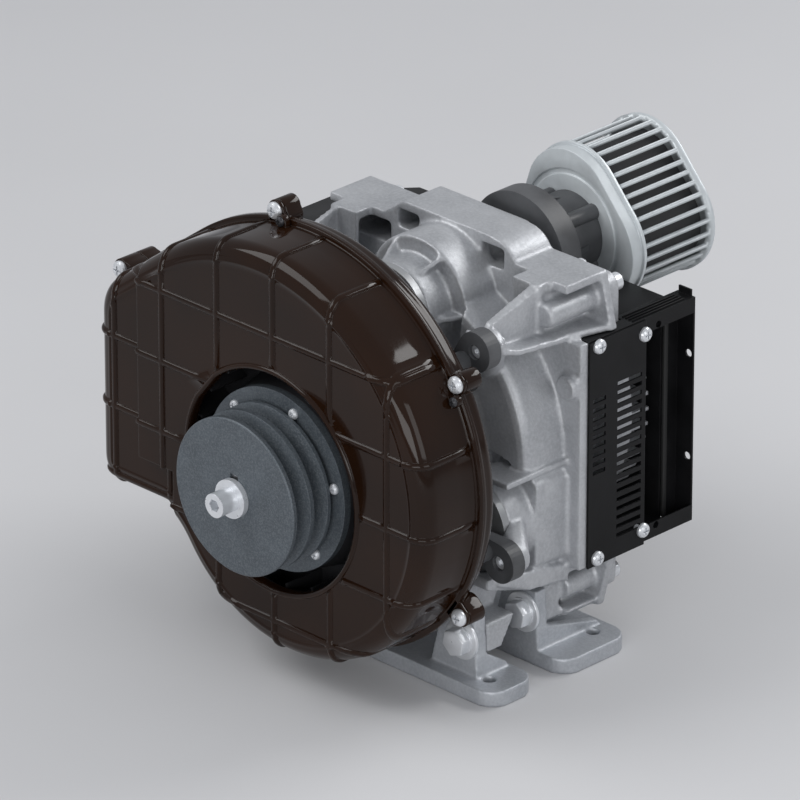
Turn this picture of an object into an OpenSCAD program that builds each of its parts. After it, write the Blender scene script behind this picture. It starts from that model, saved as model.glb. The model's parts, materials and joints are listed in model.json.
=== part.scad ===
// Scroll compressor air end: belt driven, air cooled, on two cast feet.
// The shaft runs along Y, its front end towards -Y, and +X is the machine's right seen from the pulley.
// The origin is on the floor, in the middle of the four foot holes.

/* [Stance] */
// Height of the shaft axis above the floor
shaft_h = 160; // [154:1:170]
// Distance between the foot holes across the shaft
foot_pitch_x = 240; // [232:1:246]
// Distance between the foot holes along the shaft
foot_pitch_y = 106; // [104:1:110]
// Bore of a foot hole
foot_hole_d = 9.8; // [8:0.1:12]
// Thickness of a foot bar
foot_t = 12; // [10:0.5:14]
// Width of the front foot bar along the shaft
foot_w = 46; // [42:1:48]
// Width of the rear foot bar along the shaft
rear_foot_w = 69; // [66:1:72]
// Distance from a foot hole to the outer edge of its bar
foot_edge = 18; // [16:1:20]
// Overhang of a foot bar past its hole
foot_over = 21; // [18:1:24]

/* [Frame] */
// Scroll joint face, measured from the middle of the feet
scroll_y = 67; // [65:1:72]
// Length of the top and bottom beams
beam_l = 31; // [28:1:36]
// Length of the round barrel
barrel_l = 48; // [46:1:50]
// Outer radius of the barrel
barrel_r = 114; // [112:1:116]
// Wall of the barrel
barrel_wall = 9; // [7:0.5:11]
// Length of the bearing nose ahead of the barrel
nose_l = 58; // [57:1:60]
// Outer radius of the bearing nose
nose_r = 45; // [42:1:50]
// Half width of the beams
beam_x = 118; // [116:1:122]
// Top of the beams above the shaft
beam_z = 131; // [129:1:136]
// Half width of the rear flange
flange_x = 129; // [127:1:132]
// Half height of the rear flange
flange_z = 88; // [84:1:92]
// Thickness of the rear flange
flange_t = 8; // [6:0.5:10]

/* [Crank train] */
// Clearance of a running or sliding fit, on the radius
fit = 0.05; // [0.03:0.01:0.08]
// Radius of the crankshaft in the pulley
shaft_r = 14; // [13:0.5:14.5]
// Radius of the crankshaft in the front bearing
journal_r = 15; // [14.8:0.1:15.5]
// Outer radius of the front bearing
front_brg_r = 31; // [30:0.5:33]
// Width of the front bearing
front_brg_w = 16; // [14:1:18]
// Radius of the crankshaft in the rear bearing
rear_journal_r = 22.5; // [21:0.5:24]
// Outer radius of the rear bearing
rear_brg_r = 42.5; // [41:0.5:44]
// Width of the rear bearing
rear_brg_w = 19; // [17:1:20]
// Radius of the eccentric pin
pin_r = 14; // [13:0.5:15]
// Outer radius of the bearing on the eccentric pin
orbit_brg_r = 31; // [30:0.5:32]
// Radius of the circle of the three auxiliary cranks
aux_pcr = 93; // [91:0.5:95]
// Radius of an auxiliary crank's journals
aux_r = 7.5; // [6.5:0.5:8.5]
// Outer radius of an auxiliary crank's bearings
aux_brg_r = 17.5; // [16:0.5:18]
// Radius of an auxiliary bearing cover
aux_cover_r = 35.5; // [34:0.5:38]

/* [Scrolls] */
// Distance between neighbouring turns of a scroll wrap
wrap_pitch = 20; // [19:0.5:22]
// Thickness of a scroll wrap
wrap_t = 4; // [3.6:0.2:4.4]
// Height of a scroll wrap
wrap_h = 30; // [26:1:32]
// Gap that is left between the two wraps
wrap_gap = 0.3; // [0.2:0.05:0.5]
// Radius where a wrap ends
wrap_r = 88; // [84:1:89]
// Thickness of the orbiting scroll's plate
orbit_plate_t = 9; // [8:0.5:10]
// Height of the cooling fins
fin_h = 17; // [14:1:18]
// Thickness of a cooling fin
fin_t = 2.6; // [2:0.2:3.4]
// Distance between the cooling fins
fin_pitch = 12; // [10:1:14]

/* [Fan casing] */
// Radius of the volute wall at the right hand side
volute_r0 = 151.5; // [148:0.5:153]
// Growth of the volute wall for each degree
volute_grow = 0.225; // [0.2:0.005:0.24]
// Wall of the casing shells
casing_t = 2.5; // [2:0.1:3]
// Depth of the front shell
cover_d = 54; // [52:1:58]
// Depth of the rear shell
back_d = 18; // [17:1:22]
// Rounding of the front shell
cover_round = 13.4; // [11:0.2:15]
// Radius of the air inlet
inlet_r = 83; // [80:0.5:86]
// Spacing of the ribs on the front shell
rib_pitch = 56; // [54:1:58]
// Width of a rib on the front shell
rib_w = 4; // [3:0.5:5]
// Height of a rib on the front shell
rib_h = 1.4; // [1:0.1:1.8]
// Left wall of the volute outlet, from the shaft
duct_x = 184; // [180:1:188]
// Bottom wall of the volute outlet, below the shaft
duct_z = 60; // [57:1:63]

/* [Pulley and fan] */
// Outer radius of the pulley
pulley_r = 59; // [56:0.5:62]
// Width of the pulley
pulley_w = 38; // [36:0.5:39]
// Distance of the pulley's front face ahead of the casing
pulley_out = 36.5; // [35:0.5:40]
// Depth of a belt groove
groove_d = 12; // [10:0.5:13]
// Width of a belt groove at the rim
groove_w = 13; // [12:0.5:14]
// Width of the key
key_w = 8; // [7:0.5:9]
// Radius of the fan hub's flange
hub_r = 68.6; // [66:0.2:72]
// Radius of the impeller
fan_r = 108; // [104:1:110]
// Number of impeller blades
fan_blades = 20; // [16:1:24]

/* [Outlet duct and intake] */
// Sheet thickness of the guard and ducts
sheet_t = 1.5; // [1.2:0.1:2]
// Length of the outlet duct along the shaft
outlet_l = 110; // [106:1:114]
// Length of the slotted guard along the shaft
guard_l = 58; // [56:1:62]
// Slot pitch of the guard
slot_pitch = 7; // [6.5:0.5:8]
// Offset of the intake axis to the right
intake_x = 18; // [14:1:22]
// Height of the intake axis above the shaft
intake_z = 109; // [106:1:112]
// Radius of the intake housing
intake_r = 46; // [43:0.5:48]
// Length of the adapter between intake housing and filter
adapter_l = 34; // [30:1:40]
// Length of the suction filter
filter_l = 84; // [76:1:92]
// Radius of a filter lobe
filter_lobe_r = 41; // [39:0.5:43]
// Distance of a filter lobe from the filter's axis
filter_lobe_d = 20; // [18:0.5:22]

/* [Hidden] */
$fn = 64;
eps = 0.01;
cut = 1;
// Clearance of parts that pass each other without guidance
air = 0.3;

// Stations along the shaft
beam_y = scroll_y - beam_l;
flange_y = beam_y - flange_t;
barrel_y = beam_y - barrel_l;
nose_y = barrel_y - nose_l;
lug_y = barrel_y - 29;
back_y = nose_y - 8.5;
seam_y = back_y - back_d;
cover_y = seam_y - cover_d;
pulley_y = cover_y - pulley_out;
hub_y = pulley_y + pulley_w;

// Crank train
orbit_r = wrap_pitch / 2 - wrap_t - wrap_gap;
front_brg_y = nose_y + 3;
rear_brg_y = barrel_y - 18;
cheek_y = rear_brg_y + rear_brg_w + 2;
cheek_t = 12;
cheek_r = 40;
weight_r = 64;
weight_y = cheek_y + cheek_t + 6;
boss_y = weight_y + 3;
plate_y = scroll_y - 0.2 - orbit_plate_t;
orbit_boss_r = orbit_brg_r + 7;
orbit_brg_w = 20;
aux_at = [90, 210, 330];
aux_brg_w = 11;
aux_face_y = barrel_y - 16;
aux_rim_y = barrel_y + 8;
aux_rim_r = 48;
aux_brg_y = aux_face_y + 2;
aux_hub_y = aux_brg_y + 2 * aux_brg_w + 2;
aux_cheek_y = aux_hub_y + 4;
aux_cheek_t = 7;
aux_cheek_r = aux_r + orbit_r;
orbit_lobe_y = aux_cheek_y + aux_cheek_t + 19;
orbit_lobe_r = aux_brg_r + 6.5;

// Scrolls
base_r = wrap_pitch / 2 / PI;
wrap_a0 = 183;
wrap_a1 = wrap_r / base_r * 180 / PI;
wrap_step = 15;
cavity_r = wrap_r + wrap_t / 2 + orbit_r + 1.5;
seal_r = cavity_r + 2.5;
seal_w = 3;
seal_d = 2.4;
orbit_plate_r = seal_r + seal_w + orbit_r + 0.5;
sweep_r = orbit_plate_r + orbit_r + 1.2;
lobe_sweep_r = orbit_lobe_r + orbit_r + 1.2;
fixed_flange_t = 12;
fixed_flange_x = beam_x - 1;
fixed_flange_z = 123;
floor_y = scroll_y + wrap_h + air;
fixed_fin_y = floor_y + 10;
fixed_rear_y = fixed_fin_y + fin_h;
fixed_r = cavity_r + 8;
tip_seal_w = 1.8;
tip_seal_d = 1.6;
port_r = 8;
port_boss_r = 20;
scroll_bolt_r = 4;
scroll_bolt_at = [for (s = [-1, 1], t = [-1, 1], x = [74, 108]) [s * x, t * 113]];

// Casing
lip = 4.5;
lip_t = 3;
back_round = 8;
cover_boss_r = 8.5;
step_x = -135;
step_z = -26;
step_d = 7;
outlet_window = [[-duct_x + 12, -duct_z + 12], [-131, 74]];
// Large casing screws: across, up, and how far ahead of the seam the head sits
cover_screw_at = [[-46, 178, lip_t], [132, 101.5, lip_t], [136, -77, lip_t], [-189, 92, 17.6]];
small_screw_at = [[-34.9, 174.7, 9], [135.2, 91.2, 9]];
small_boss_t = 5;
small_boss_r = 4.2;
bump_at = [[-duct_x, 34], [-duct_x, -14], [-duct_x, -48], [-52, -125], [12, -136]];
// Brackets that carry the casing on the frame: angle, distance from the shaft
bracket_at = [[44.4, 145], [-23, 139], [135.6, 145], [-112, 118]];
bracket_r = 15;
bracket_t = 12;
bracket_hole_r = 5.5;
post_r = 8;
post_step = 15;

// Feet
foot_front_y = -foot_pitch_y / 2;
foot_rear_y = foot_pitch_y / 2;
foot_end = foot_pitch_x / 2 + foot_over;
front_wall_y = foot_front_y - foot_edge + foot_w - 35;
rear_wall_y = foot_rear_y + foot_edge - rear_foot_w;
foot_wall = 11;
leg_x0 = 76;
leg_x1 = 114;
foot_bolt_x = 101;
foot_bolt_z = 40;
foot_bolt_r = 6;
leg_z = shaft_h - beam_z;

// Outlet duct, guard and shroud
outlet_y1 = beam_y + outlet_l;
duct_lip = 12;
duct_in_x = 112;
guard_y1 = beam_y + guard_l;
guard_screw_at = [[9, 83], [56, 77]];
shroud_y0 = scroll_y + fixed_flange_t + air;
shroud_y1 = fixed_rear_y + 7;
side_in_x = flange_x + 2;

// Intake
intake_y0 = scroll_y + fixed_flange_t;
intake_y1 = intake_y0 + 22;
adapter_r = 30;
filter_y0 = intake_y1 + adapter_l;
filter_y1 = filter_y0 + filter_l;
filter_cap_t = 13;
filter_rear_t = 4;
filter_bar_n = 36;
lobe_at = [102, 222, 342];

// A flat shape drawn across the shaft, filled from y0 to y1
module slab(y0, y1) {
    translate([0, y1, shaft_h]) rotate([90, 0, 0]) linear_extrude(y1 - y0) children();
}

// A round bar along the shaft, from y0 to y1, at x and z from the shaft
module bar(r, y0, y1, x = 0, z = 0) {
    translate([x, y0, shaft_h + z]) rotate([-90, 0, 0]) cylinder(r = r, h = y1 - y0);
}

// A ring along the shaft
module ring(r_out, r_in, y0, y1, x = 0, z = 0) {
    difference() {
        bar(r_out, y0, y1, x, z);
        bar(r_in, y0 - cut, y1 + cut, x, z);
    }
}

// A profile of [radius, station] points turned about the shaft
module turned(profile) {
    translate([0, 0, shaft_h]) rotate([-90, 0, 0]) rotate_extrude() polygon(profile);
}

// Moves children to angle a and distance r from where they are
module polar(a, r) {
    translate([r * cos(a), 0, r * sin(a)]) children();
}

// Turns children about the shaft by a, from the machine's right towards the top
module about_shaft(a) {
    translate([0, 0, shaft_h]) rotate([0, -a, 0]) translate([0, 0, -shaft_h]) children();
}

// A block between two corners, with heights from the shaft
module block(x0, x1, y0, y1, z0, z1) {
    translate([x0, y0, shaft_h + z0]) cube([x1 - x0, y1 - y0, z1 - z0]);
}

// A web of thickness t that stands out from the shaft at angle a; points are [radius, station]
module radial_web(a, t, points) {
    about_shaft(a) translate([0, 0, shaft_h - t / 2]) linear_extrude(t) polygon(points);
}

// A web across the machine; points are [station, height from the shaft], filled from x0 to x1
module side_web(x0, x1, points) {
    translate([x0, 0, shaft_h]) rotate([90, 0, 90]) linear_extrude(x1 - x0) polygon(points);
}

// Screws stand on the origin: head above, shank below
module pan_screw(r, grip, head_r, head_h) {
    difference() {
        rotate_extrude() polygon([[0, 0], [head_r, 0], [head_r, head_h * 0.4], [head_r * 0.86, head_h * 0.75],
            [head_r * 0.55, head_h], [0, head_h]]);
        for (a = [0, 90]) rotate([0, 0, a]) translate([-head_r * 0.55, -head_r * 0.1, head_h * 0.5])
            cube([head_r * 1.1, head_r * 0.2, head_h]);
    }
    translate([0, 0, -grip]) cylinder(r = r, h = grip);
}

module flange_bolt(r, grip) {
    cylinder(r = r * 2.6, h = 3);
    translate([0, 0, 3]) cylinder(r = r * 1.75, h = r * 1.2, $fn = 6);
    translate([0, 0, -grip]) cylinder(r = r, h = grip);
}

module socket_screw(r, grip, head_r, head_h) {
    difference() {
        cylinder(r = head_r, h = head_h);
        translate([0, 0, head_h * 0.45]) cylinder(r = head_r * 0.55, h = head_h, $fn = 6);
    }
    translate([0, 0, -grip]) cylinder(r = r, h = grip);
}

// Places for a screw: the head points to the front, the rear or the right
module facing_front(x, y, z) {
    translate([x, y, shaft_h + z]) rotate([90, 0, 0]) children();
}

module facing_rear(x, y, z) {
    translate([x, y, shaft_h + z]) rotate([-90, 0, 0]) children();
}

module facing_right(x, y, z) {
    translate([x, y, shaft_h + z]) rotate([0, 90, 0]) children();
}

// Points on a smooth corner from p to q round the control point c
function corner(p, c, q, n) = [for (i = [0 : n]) let (t = i / n)
    (1 - t) * (1 - t) * p + 2 * t * (1 - t) * c + t * t * q];

// Volute outline: a growing spiral, a straight top, the outlet's left wall and floor, and the tongue
spiral_a0 = -138;
spiral_a1 = 125;
spiral_n = 36;
function volute_r(a) = volute_r0 + volute_grow * a;
function on_spiral(a) = volute_r(a) * [cos(a), sin(a)];
function spiral_dir(a) = let (g = volute_grow * 180 / PI)
    [g * cos(a) - volute_r(a) * sin(a), g * sin(a) + volute_r(a) * cos(a)];
top_end = on_spiral(spiral_a1);
top_dir = spiral_dir(spiral_a1);
top_corner = top_end - top_dir * (duct_x + top_end[0]) / top_dir[0];
tongue = on_spiral(spiral_a0);
tongue_dir = spiral_dir(spiral_a0);
tongue_corner = tongue - tongue_dir * (tongue[1] + duct_z) / tongue_dir[1];
volute_path = concat(
    [for (i = [0 : spiral_n]) on_spiral(spiral_a0 + (spiral_a1 - spiral_a0) * i / spiral_n)],
    corner(top_corner - 22 * top_dir / norm(top_dir), top_corner, top_corner - [0, 24], 6),
    corner([-duct_x, 20 - duct_z], [-duct_x, -duct_z], [20 - duct_x, -duct_z], 6),
    corner(tongue_corner - [16, 0], tongue_corner, tongue, 5));
path_n = len(volute_path) - 1;

// The outline moved inwards by d along its own normals
function inward(d) = [for (i = [0 : path_n - 1])
    let (t = volute_path[(i + 1) % path_n] - volute_path[(i + path_n - 1) % path_n])
    volute_path[i] + d * [-t[1], t[0]] / norm(t)];

// Skin over rings of points round the shaft, from the front to the rear; each ring is [station, points]
module loft(rings) {
    n = len(rings[0][1]);
    m = len(rings);
    points = concat([for (r = rings) for (p = r[1]) [p[0], r[0], shaft_h + p[1]]],
        [[0, rings[0][0], shaft_h], [0, rings[m - 1][0], shaft_h]]);
    sides = [for (k = [0 : m - 2]) for (i = [0 : n - 1]) let (j = (i + 1) % n)
        each [[k * n + i, k * n + j, (k + 1) * n + i], [k * n + j, (k + 1) * n + j, (k + 1) * n + i]]];
    front = [for (i = [0 : n - 1]) [m * n, (i + 1) % n, i]];
    rear = [for (i = [0 : n - 1]) [m * n + 1, (m - 1) * n + i, (m - 1) * n + (i + 1) % n]];
    polyhedron(points = points, faces = concat(front, sides, rear), convexity = 8);
}

// Volute body with a rounded front: front face at y0, rounding r, rear at y1, moved inwards by d
round_steps = [0, 18, 36, 54, 72, 90];
module volute_front(y0, y1, r, d) {
    loft(concat([for (a = round_steps) [y0 + r * (1 - cos(a)), inward(d + r * (1 - sin(a)))]],
        [[y1, inward(d)]]));
}

// Volute body with a rounded rear
module volute_rear(y0, y1, r, d) {
    loft(concat([[y0, inward(d)]],
        [for (a = round_steps) [y1 - r * (1 - sin(a)), inward(d + r * (1 - cos(a)))]]));
}

// Involute of the base circle at a degrees, moved along its normal by d
function involute(a, d) = let (k = a * PI / 180 + d / base_r)
    base_r * [cos(a) + k * sin(a), sin(a) - k * cos(a)];

// Outline of a scroll wrap of thickness t
function wrap_outline(t) = let (n = floor((wrap_a1 - wrap_a0) / wrap_step)) concat(
    [for (i = [0 : n]) involute(wrap_a0 + i * wrap_step, t / 2)],
    [for (i = [n : -1 : 0]) involute(wrap_a0 + i * wrap_step, -t / 2)]);

// Cooling fins across the machine, inside a circle of radius r and between heights -z and z
module fins(r, z, y0, y1) {
    n = floor((z - fin_t) / fin_pitch);
    slab(y0, y1) intersection() {
        circle(r);
        union() for (i = [-n : n]) translate([-r, i * fin_pitch - fin_t / 2]) square([2 * r, fin_t]);
    }
}

// Frame: nose, barrel, crank bosses, flange, beams and brackets are one casting
module frame_barrel() {
    difference() {
        union() {
            turned([[0, nose_y], [nose_r, nose_y], [nose_r, rear_brg_y - 8], [rear_brg_r + 11, rear_brg_y],
                [rear_brg_r + 14, barrel_y - 12], [barrel_r - 34, barrel_y], [barrel_r - 7, barrel_y],
                [barrel_r - 2, barrel_y + 2], [barrel_r, barrel_y + 7], [barrel_r, beam_y], [0, beam_y]]);
            polar(90, aux_pcr) bar(aux_rim_r, aux_rim_y, beam_y);
            intersection() {
                for (a = [210, 330]) polar(a, aux_pcr) bar(aux_rim_r, aux_rim_y, beam_y);
                block(-beam_x, beam_x, barrel_y, beam_y, -84, 0);
            }
        }
        // Scalloped seats round the crank bosses
        difference() {
            for (a = aux_at) polar(a, aux_pcr) bar(aux_rim_r + 2, barrel_y - 9, aux_rim_y);
            bar(rear_brg_r + 31, barrel_y - 10, aux_rim_y + cut);
        }
        // Inside of the barrel, and the room of the crank cheek and its weight
        bar(barrel_r - barrel_wall, barrel_y + 12, beam_y + cut);
        for (a = aux_at) polar(a, aux_pcr) bar(lobe_sweep_r, aux_hub_y, beam_y + cut);
    }
    for (a = aux_at) polar(a, aux_pcr) bar(aux_cover_r, aux_face_y, barrel_y + 12);
    for (a = [0 : 60 : 300]) radial_web(a, 5, [[nose_r - 1, nose_y + 12], [nose_r - 1, barrel_y - 1],
        [barrel_r - 38, barrel_y + 1], [barrel_r - 38, barrel_y - 4], [rear_brg_r + 12, barrel_y - 22]]);
}

// Triangular ribs between an auxiliary boss and its rim
module boss_ribs(a) {
    polar(a, aux_pcr) for (b = [0 : 60 : 300]) radial_web(b, 4,
        [[aux_cover_r - 1, aux_face_y + 4], [aux_cover_r - 1, aux_rim_y + 1], [aux_rim_r - 1, aux_rim_y + 1]]);
}

// Section of the top and bottom beams, with the raised bridge over the top crank
bridge_z = beam_z + 14;
module beam_outline() {
    polygon(concat([[-beam_x, 6 - beam_z], [6 - beam_x, -beam_z], [beam_x - 6, -beam_z], [beam_x, 6 - beam_z],
        [beam_x, beam_z], [64, beam_z]], corner([64, beam_z], [58, bridge_z], [34, bridge_z], 8),
        [[-46, bridge_z], [-66, beam_z], [-beam_x, beam_z]]));
}

module frame_beams() {
    difference() {
        slab(flange_y, scroll_y) beam_outline();
        bar(barrel_r - barrel_wall, flange_y - cut, scroll_y);
        bar(sweep_r, beam_y, scroll_y + cut);
        for (a = aux_at) polar(a, aux_pcr) bar(lobe_sweep_r, flange_y - cut, scroll_y + cut);
        // Cooling air crosses from side to side between the beams
        for (s = [-1, 1]) block(min(s * 60, s * 130), max(s * 60, s * 130), beam_y, scroll_y + cut,
            8 - flange_z, flange_z - 8);
        // Pockets under the beam, open to the front
        for (p = [[-102, -59, 108, 124], [-52, -31, 124, 138], [31, 53, 122, 138], [-100, -60, -125, -112],
            [60, 100, -125, -112]])
            block(p[0], p[1], flange_y - cut, scroll_y - 7, p[2], p[3]);
        // Framed pockets in both ends
        for (s = [-1, 1], z = [[96, beam_z - 7], [7 - beam_z, -98]])
            block(min(s * (beam_x - 13), s * 130), max(s * (beam_x - 13), s * 130),
                flange_y + 9, scroll_y - 5, z[0], z[1]);
    }
    // Bosses of the corner bolts
    for (s = [-1, 1], t = [-1, 1]) bar(9, flange_y, scroll_y, s * 108, t * 113);
}

module frame_flange() {
    difference() {
        slab(flange_y, beam_y) square([2 * flange_x, 2 * flange_z], center = true);
        bar(barrel_r - barrel_wall, flange_y - cut, beam_y + cut);
    }
}

// Upper bracket: pad, web, curved lower flange and the seat of the casing bracket
module frame_bracket_upper(s) {
    low = [[flange_y + 1, 87], [19, 88.5], [-22, 93], [lug_y + 4, 98], [lug_y, 106]];
    mirror([s < 0 ? 1 : 0, 0, 0]) {
        side_web(82, beam_x, concat(low, [[lug_y + 3, 109], [lug_y + 6, 102], [-20, 97], [19, 93.5],
            [flange_y + 1, 92]]));
        side_web(96, 102, concat(low, [[-34, 116], [11, 128], [11, beam_z], [flange_y + 1, beam_z]]));
        block(78, 103, 12, flange_y + 1, beam_z - 7, beam_z);
        block(78, beam_x - 2, 12, 16, 90, beam_z - 1);
        block(102, beam_x, 25, flange_y + 1, 88, beam_z);
        side_web(82, 98, [[12, beam_z], [-34, 116], [-34, 111], [12, 124]]);
    }
}

// Lower bracket: curved flange and the leg that the rear foot is bolted to
module frame_bracket_lower(s) {
    mirror([s < 0 ? 1 : 0, 0, 0]) {
        side_web(76, beam_x, [[flange_y + 1, -86], [lug_y, -74], [lug_y, -81], [-10, -94], [20, -98],
            [flange_y + 1, -99]]);
        side_web(leg_x0, leg_x1, [[flange_y + 1, -90], [rear_wall_y + foot_wall, -88],
            [rear_wall_y + foot_wall, -beam_z], [flange_y + 1, -beam_z]]);
        side_web(leg_x0, leg_x1, [[-14, -74], [front_wall_y + foot_wall, -74],
            [front_wall_y + foot_wall, -beam_z], [front_wall_y + foot_wall + 14, -beam_z], [-14, -96]]);
        // Box over the lower crank, with the level rib above it
        block(84, beam_x, barrel_y + 16, flange_y + 1, -76, -34);
        side_web(84, beam_x, [[flange_y + 1, -8], [barrel_y - 22, -8], [barrel_y - 22, -3], [flange_y + 1, -3]]);
    }
}

// Arm from the barrel to the seat of a casing bracket
module frame_arm(a, r) {
    hull() {
        polar(a, r) bar(12, lug_y, lug_y + 8, $fn = 32);
        polar(a, barrel_r - 18) bar(12, barrel_y + 4, barrel_y + 12, $fn = 32);
    }
}

module main_frame() {
    color("silver") difference() {
        union() {
            frame_barrel();
            boss_ribs(90);
            frame_flange();
            frame_beams();
            for (s = [-1, 1]) {
                frame_bracket_upper(s);
                frame_bracket_lower(s);
            }
            for (b = bracket_at) frame_arm(b[0], b[1]);
        }
        // Bearing seats, shaft bore, bolt holes
        bar(front_brg_r + fit, nose_y - cut, front_brg_y + front_brg_w);
        bar(rear_brg_r + fit, rear_brg_y, rear_brg_y + rear_brg_w + cut);
        bar(rear_journal_r + 4, nose_y, rear_brg_y + cut);
        bar(barrel_r - barrel_wall, barrel_y + 12, beam_y);
        bar(weight_r + 4, rear_brg_y + rear_brg_w, barrel_y + 13);
        for (a = aux_at) polar(a, aux_pcr) {
            bar(aux_cover_r + air, aux_face_y - 14, aux_face_y);
            bar(aux_brg_r + fit, aux_face_y - cut, aux_brg_y + 2 * aux_brg_w);
            bar(aux_brg_r - 4, aux_face_y, aux_hub_y + cut);
            bar(lobe_sweep_r, aux_hub_y, beam_y + cut);
        }
        for (p = scroll_bolt_at) bar(scroll_bolt_r + air, scroll_y - 22, scroll_y + cut, p[0], p[1]);
        for (b = bracket_at) polar(b[0], b[1]) bar(4 + air, lug_y - cut, lug_y + 18);
        for (s = [-1, 1], y = [front_wall_y, rear_wall_y])
            bar(foot_bolt_r + air, y + foot_wall - cut, y + foot_wall + 24, s * foot_bolt_x,
                foot_bolt_z - shaft_h);
    }
}

// A cast foot: bar with rounded ends, upright walls for the bolts, and gussets behind them
module foot(y0, w, wall_y, hole_y, gusset_y) {
    r = min(16, w / 2 - 3);
    difference() {
        union() {
            linear_extrude(foot_t) union() {
                translate([-foot_end + r, y0]) square([2 * (foot_end - r), w]);
                translate([-foot_end, y0 + r]) square([2 * foot_end, w - 2 * r]);
                for (s = [-1, 1], t = [y0 + r, y0 + w - r]) translate([s * (foot_end - r), t]) circle(r);
            }
            for (s = [-1, 1]) mirror([s < 0 ? 1 : 0, 0, 0]) {
                translate([0, wall_y + foot_wall, 0]) rotate([90, 0, 0]) linear_extrude(foot_wall)
                    polygon([[leg_x0 - 8, foot_t - 1], [leg_x1, foot_t - 1], [leg_x1, foot_t + 8],
                        [leg_x1 - 2, 58], [leg_x0 + 4, 58]]);
                for (x = [leg_x0, leg_x1 - 8]) translate([x, 0, 0]) rotate([90, 0, 90]) linear_extrude(8)
                    polygon([[wall_y + 1, foot_t - 1], [gusset_y, foot_t - 1], [gusset_y, foot_t + 3],
                        [wall_y + foot_wall, leg_z - 0.3], [wall_y + 1, leg_z]]);
            }
        }
        for (s = [-1, 1]) {
            translate([s * foot_pitch_x / 2, hole_y, -cut]) cylinder(r = foot_hole_d / 2, h = foot_t + 2 * cut);
            bar(foot_bolt_r + air, wall_y - cut, wall_y + foot_wall + cut, s * foot_bolt_x,
                foot_bolt_z - shaft_h);
        }
    }
}

module front_foot() {
    y0 = foot_front_y - foot_edge;
    color("gainsboro") foot(y0, foot_w, front_wall_y, foot_front_y, y0 + foot_w - 3);
}

module rear_foot() {
    y0 = foot_rear_y + foot_edge - rear_foot_w;
    color("gainsboro") foot(y0, rear_foot_w, rear_wall_y, foot_rear_y, y0 + rear_foot_w - 6);
}

module foot_bolts() {
    color("lightgray") for (s = [-1, 1], y = [front_wall_y, rear_wall_y])
        facing_front(s * foot_bolt_x, y, foot_bolt_z - shaft_h) flange_bolt(foot_bolt_r, foot_wall + 18);
}

// Dark brackets that carry the fan casing on the frame
module casing_brackets() {
    color("dimgray") for (b = bracket_at) difference() {
        union() {
            hull() {
                polar(b[0], b[1]) bar(bracket_r, lug_y - bracket_t, lug_y, $fn = 32);
                polar(b[0], b[1] - post_step) bar(post_r + 3, lug_y - bracket_t, lug_y - 3, $fn = 32);
            }
            polar(b[0], b[1] - post_step) bar(post_r, back_y, lug_y - bracket_t);
        }
        polar(b[0], b[1]) bar(bracket_hole_r, lug_y - bracket_t - cut, lug_y - 5);
        polar(b[0], b[1]) bar(4 + air, lug_y - 6, lug_y + cut);
    }
}

module bracket_bolts() {
    color("gainsboro") for (b = bracket_at) polar(b[0], b[1])
        facing_front(0, lug_y - 5, 0) socket_screw(4, 20, bracket_hole_r - air, 4);
}

// Boss of a casing screw, with the web that joins it to the casing wall
module cover_boss(p, y0, y1) {
    bar(cover_boss_r, y0, y1, p[0], p[1]);
    about_shaft(atan2(p[1], p[0])) block(norm([p[0], p[1]]) - 13, norm([p[0], p[1]]) + 5,
        y0, y1 - 0.6, -4.5, 4.5);
}

// Boss of a small screw, with a web that ties it to the casing's wall
module small_boss(p) {
    bar(small_boss_r, seam_y - p[2], seam_y - p[2] + small_boss_t, p[0], p[1]);
    about_shaft(atan2(p[1], p[0])) block(norm([p[0], p[1]]) - 9, norm([p[0], p[1]]) + 2.5,
        seam_y - p[2] + 0.5, seam_y - p[2] + small_boss_t - 0.5, -2.5, 2.5);
}

// Fan casing, rear shell
module fan_casing_back() {
    color([0.09, 0.08, 0.07]) difference() {
        union() {
            volute_rear(seam_y, back_y, back_round, 0);
            slab(seam_y, seam_y + lip_t) polygon(inward(-lip));
            for (p = cover_screw_at) cover_boss(p, seam_y, back_y - 2.4, $fn = 12);
        }
        slab(seam_y - cut, back_y - casing_t) polygon(inward(5));
        slab(seam_y - cut, back_y - casing_t - 4) polygon(inward(casing_t));
        bar(nose_r - 20, back_y - 10, back_y + cut);
        slab(back_y - 6, back_y + cut) translate(outlet_window[0]) square(outlet_window[1] - outlet_window[0]);
        for (p = cover_screw_at) bar(3 + air, seam_y - cut, back_y - 3, p[0], p[1]);
    }
}

// Room ahead of the stepped-back part of the front shell, on its left and along the outlet's floor
module cover_step(d) {
    block(-duct_x - 20, step_x - d, cover_y - 5, cover_y + step_d + d, -duct_z - 20, bridge_z);
    block(-duct_x - 20, step_x + 35 - d, cover_y - 5, cover_y + step_d + d, -duct_z - 20, step_z - d);
}

// Grid of raised ribs on the front shell
module cover_rib_grid() {
    for (i = [-2 : 2]) block(i * rib_pitch - rib_w / 2, i * rib_pitch + rib_w / 2,
        cover_y - 5, seam_y - lip_t, -200, 220);
    for (i = [-2 : 2]) block(-220, 220, cover_y - 5, seam_y - lip_t,
        i * rib_pitch - rib_w / 2, i * rib_pitch + rib_w / 2);
}

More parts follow.
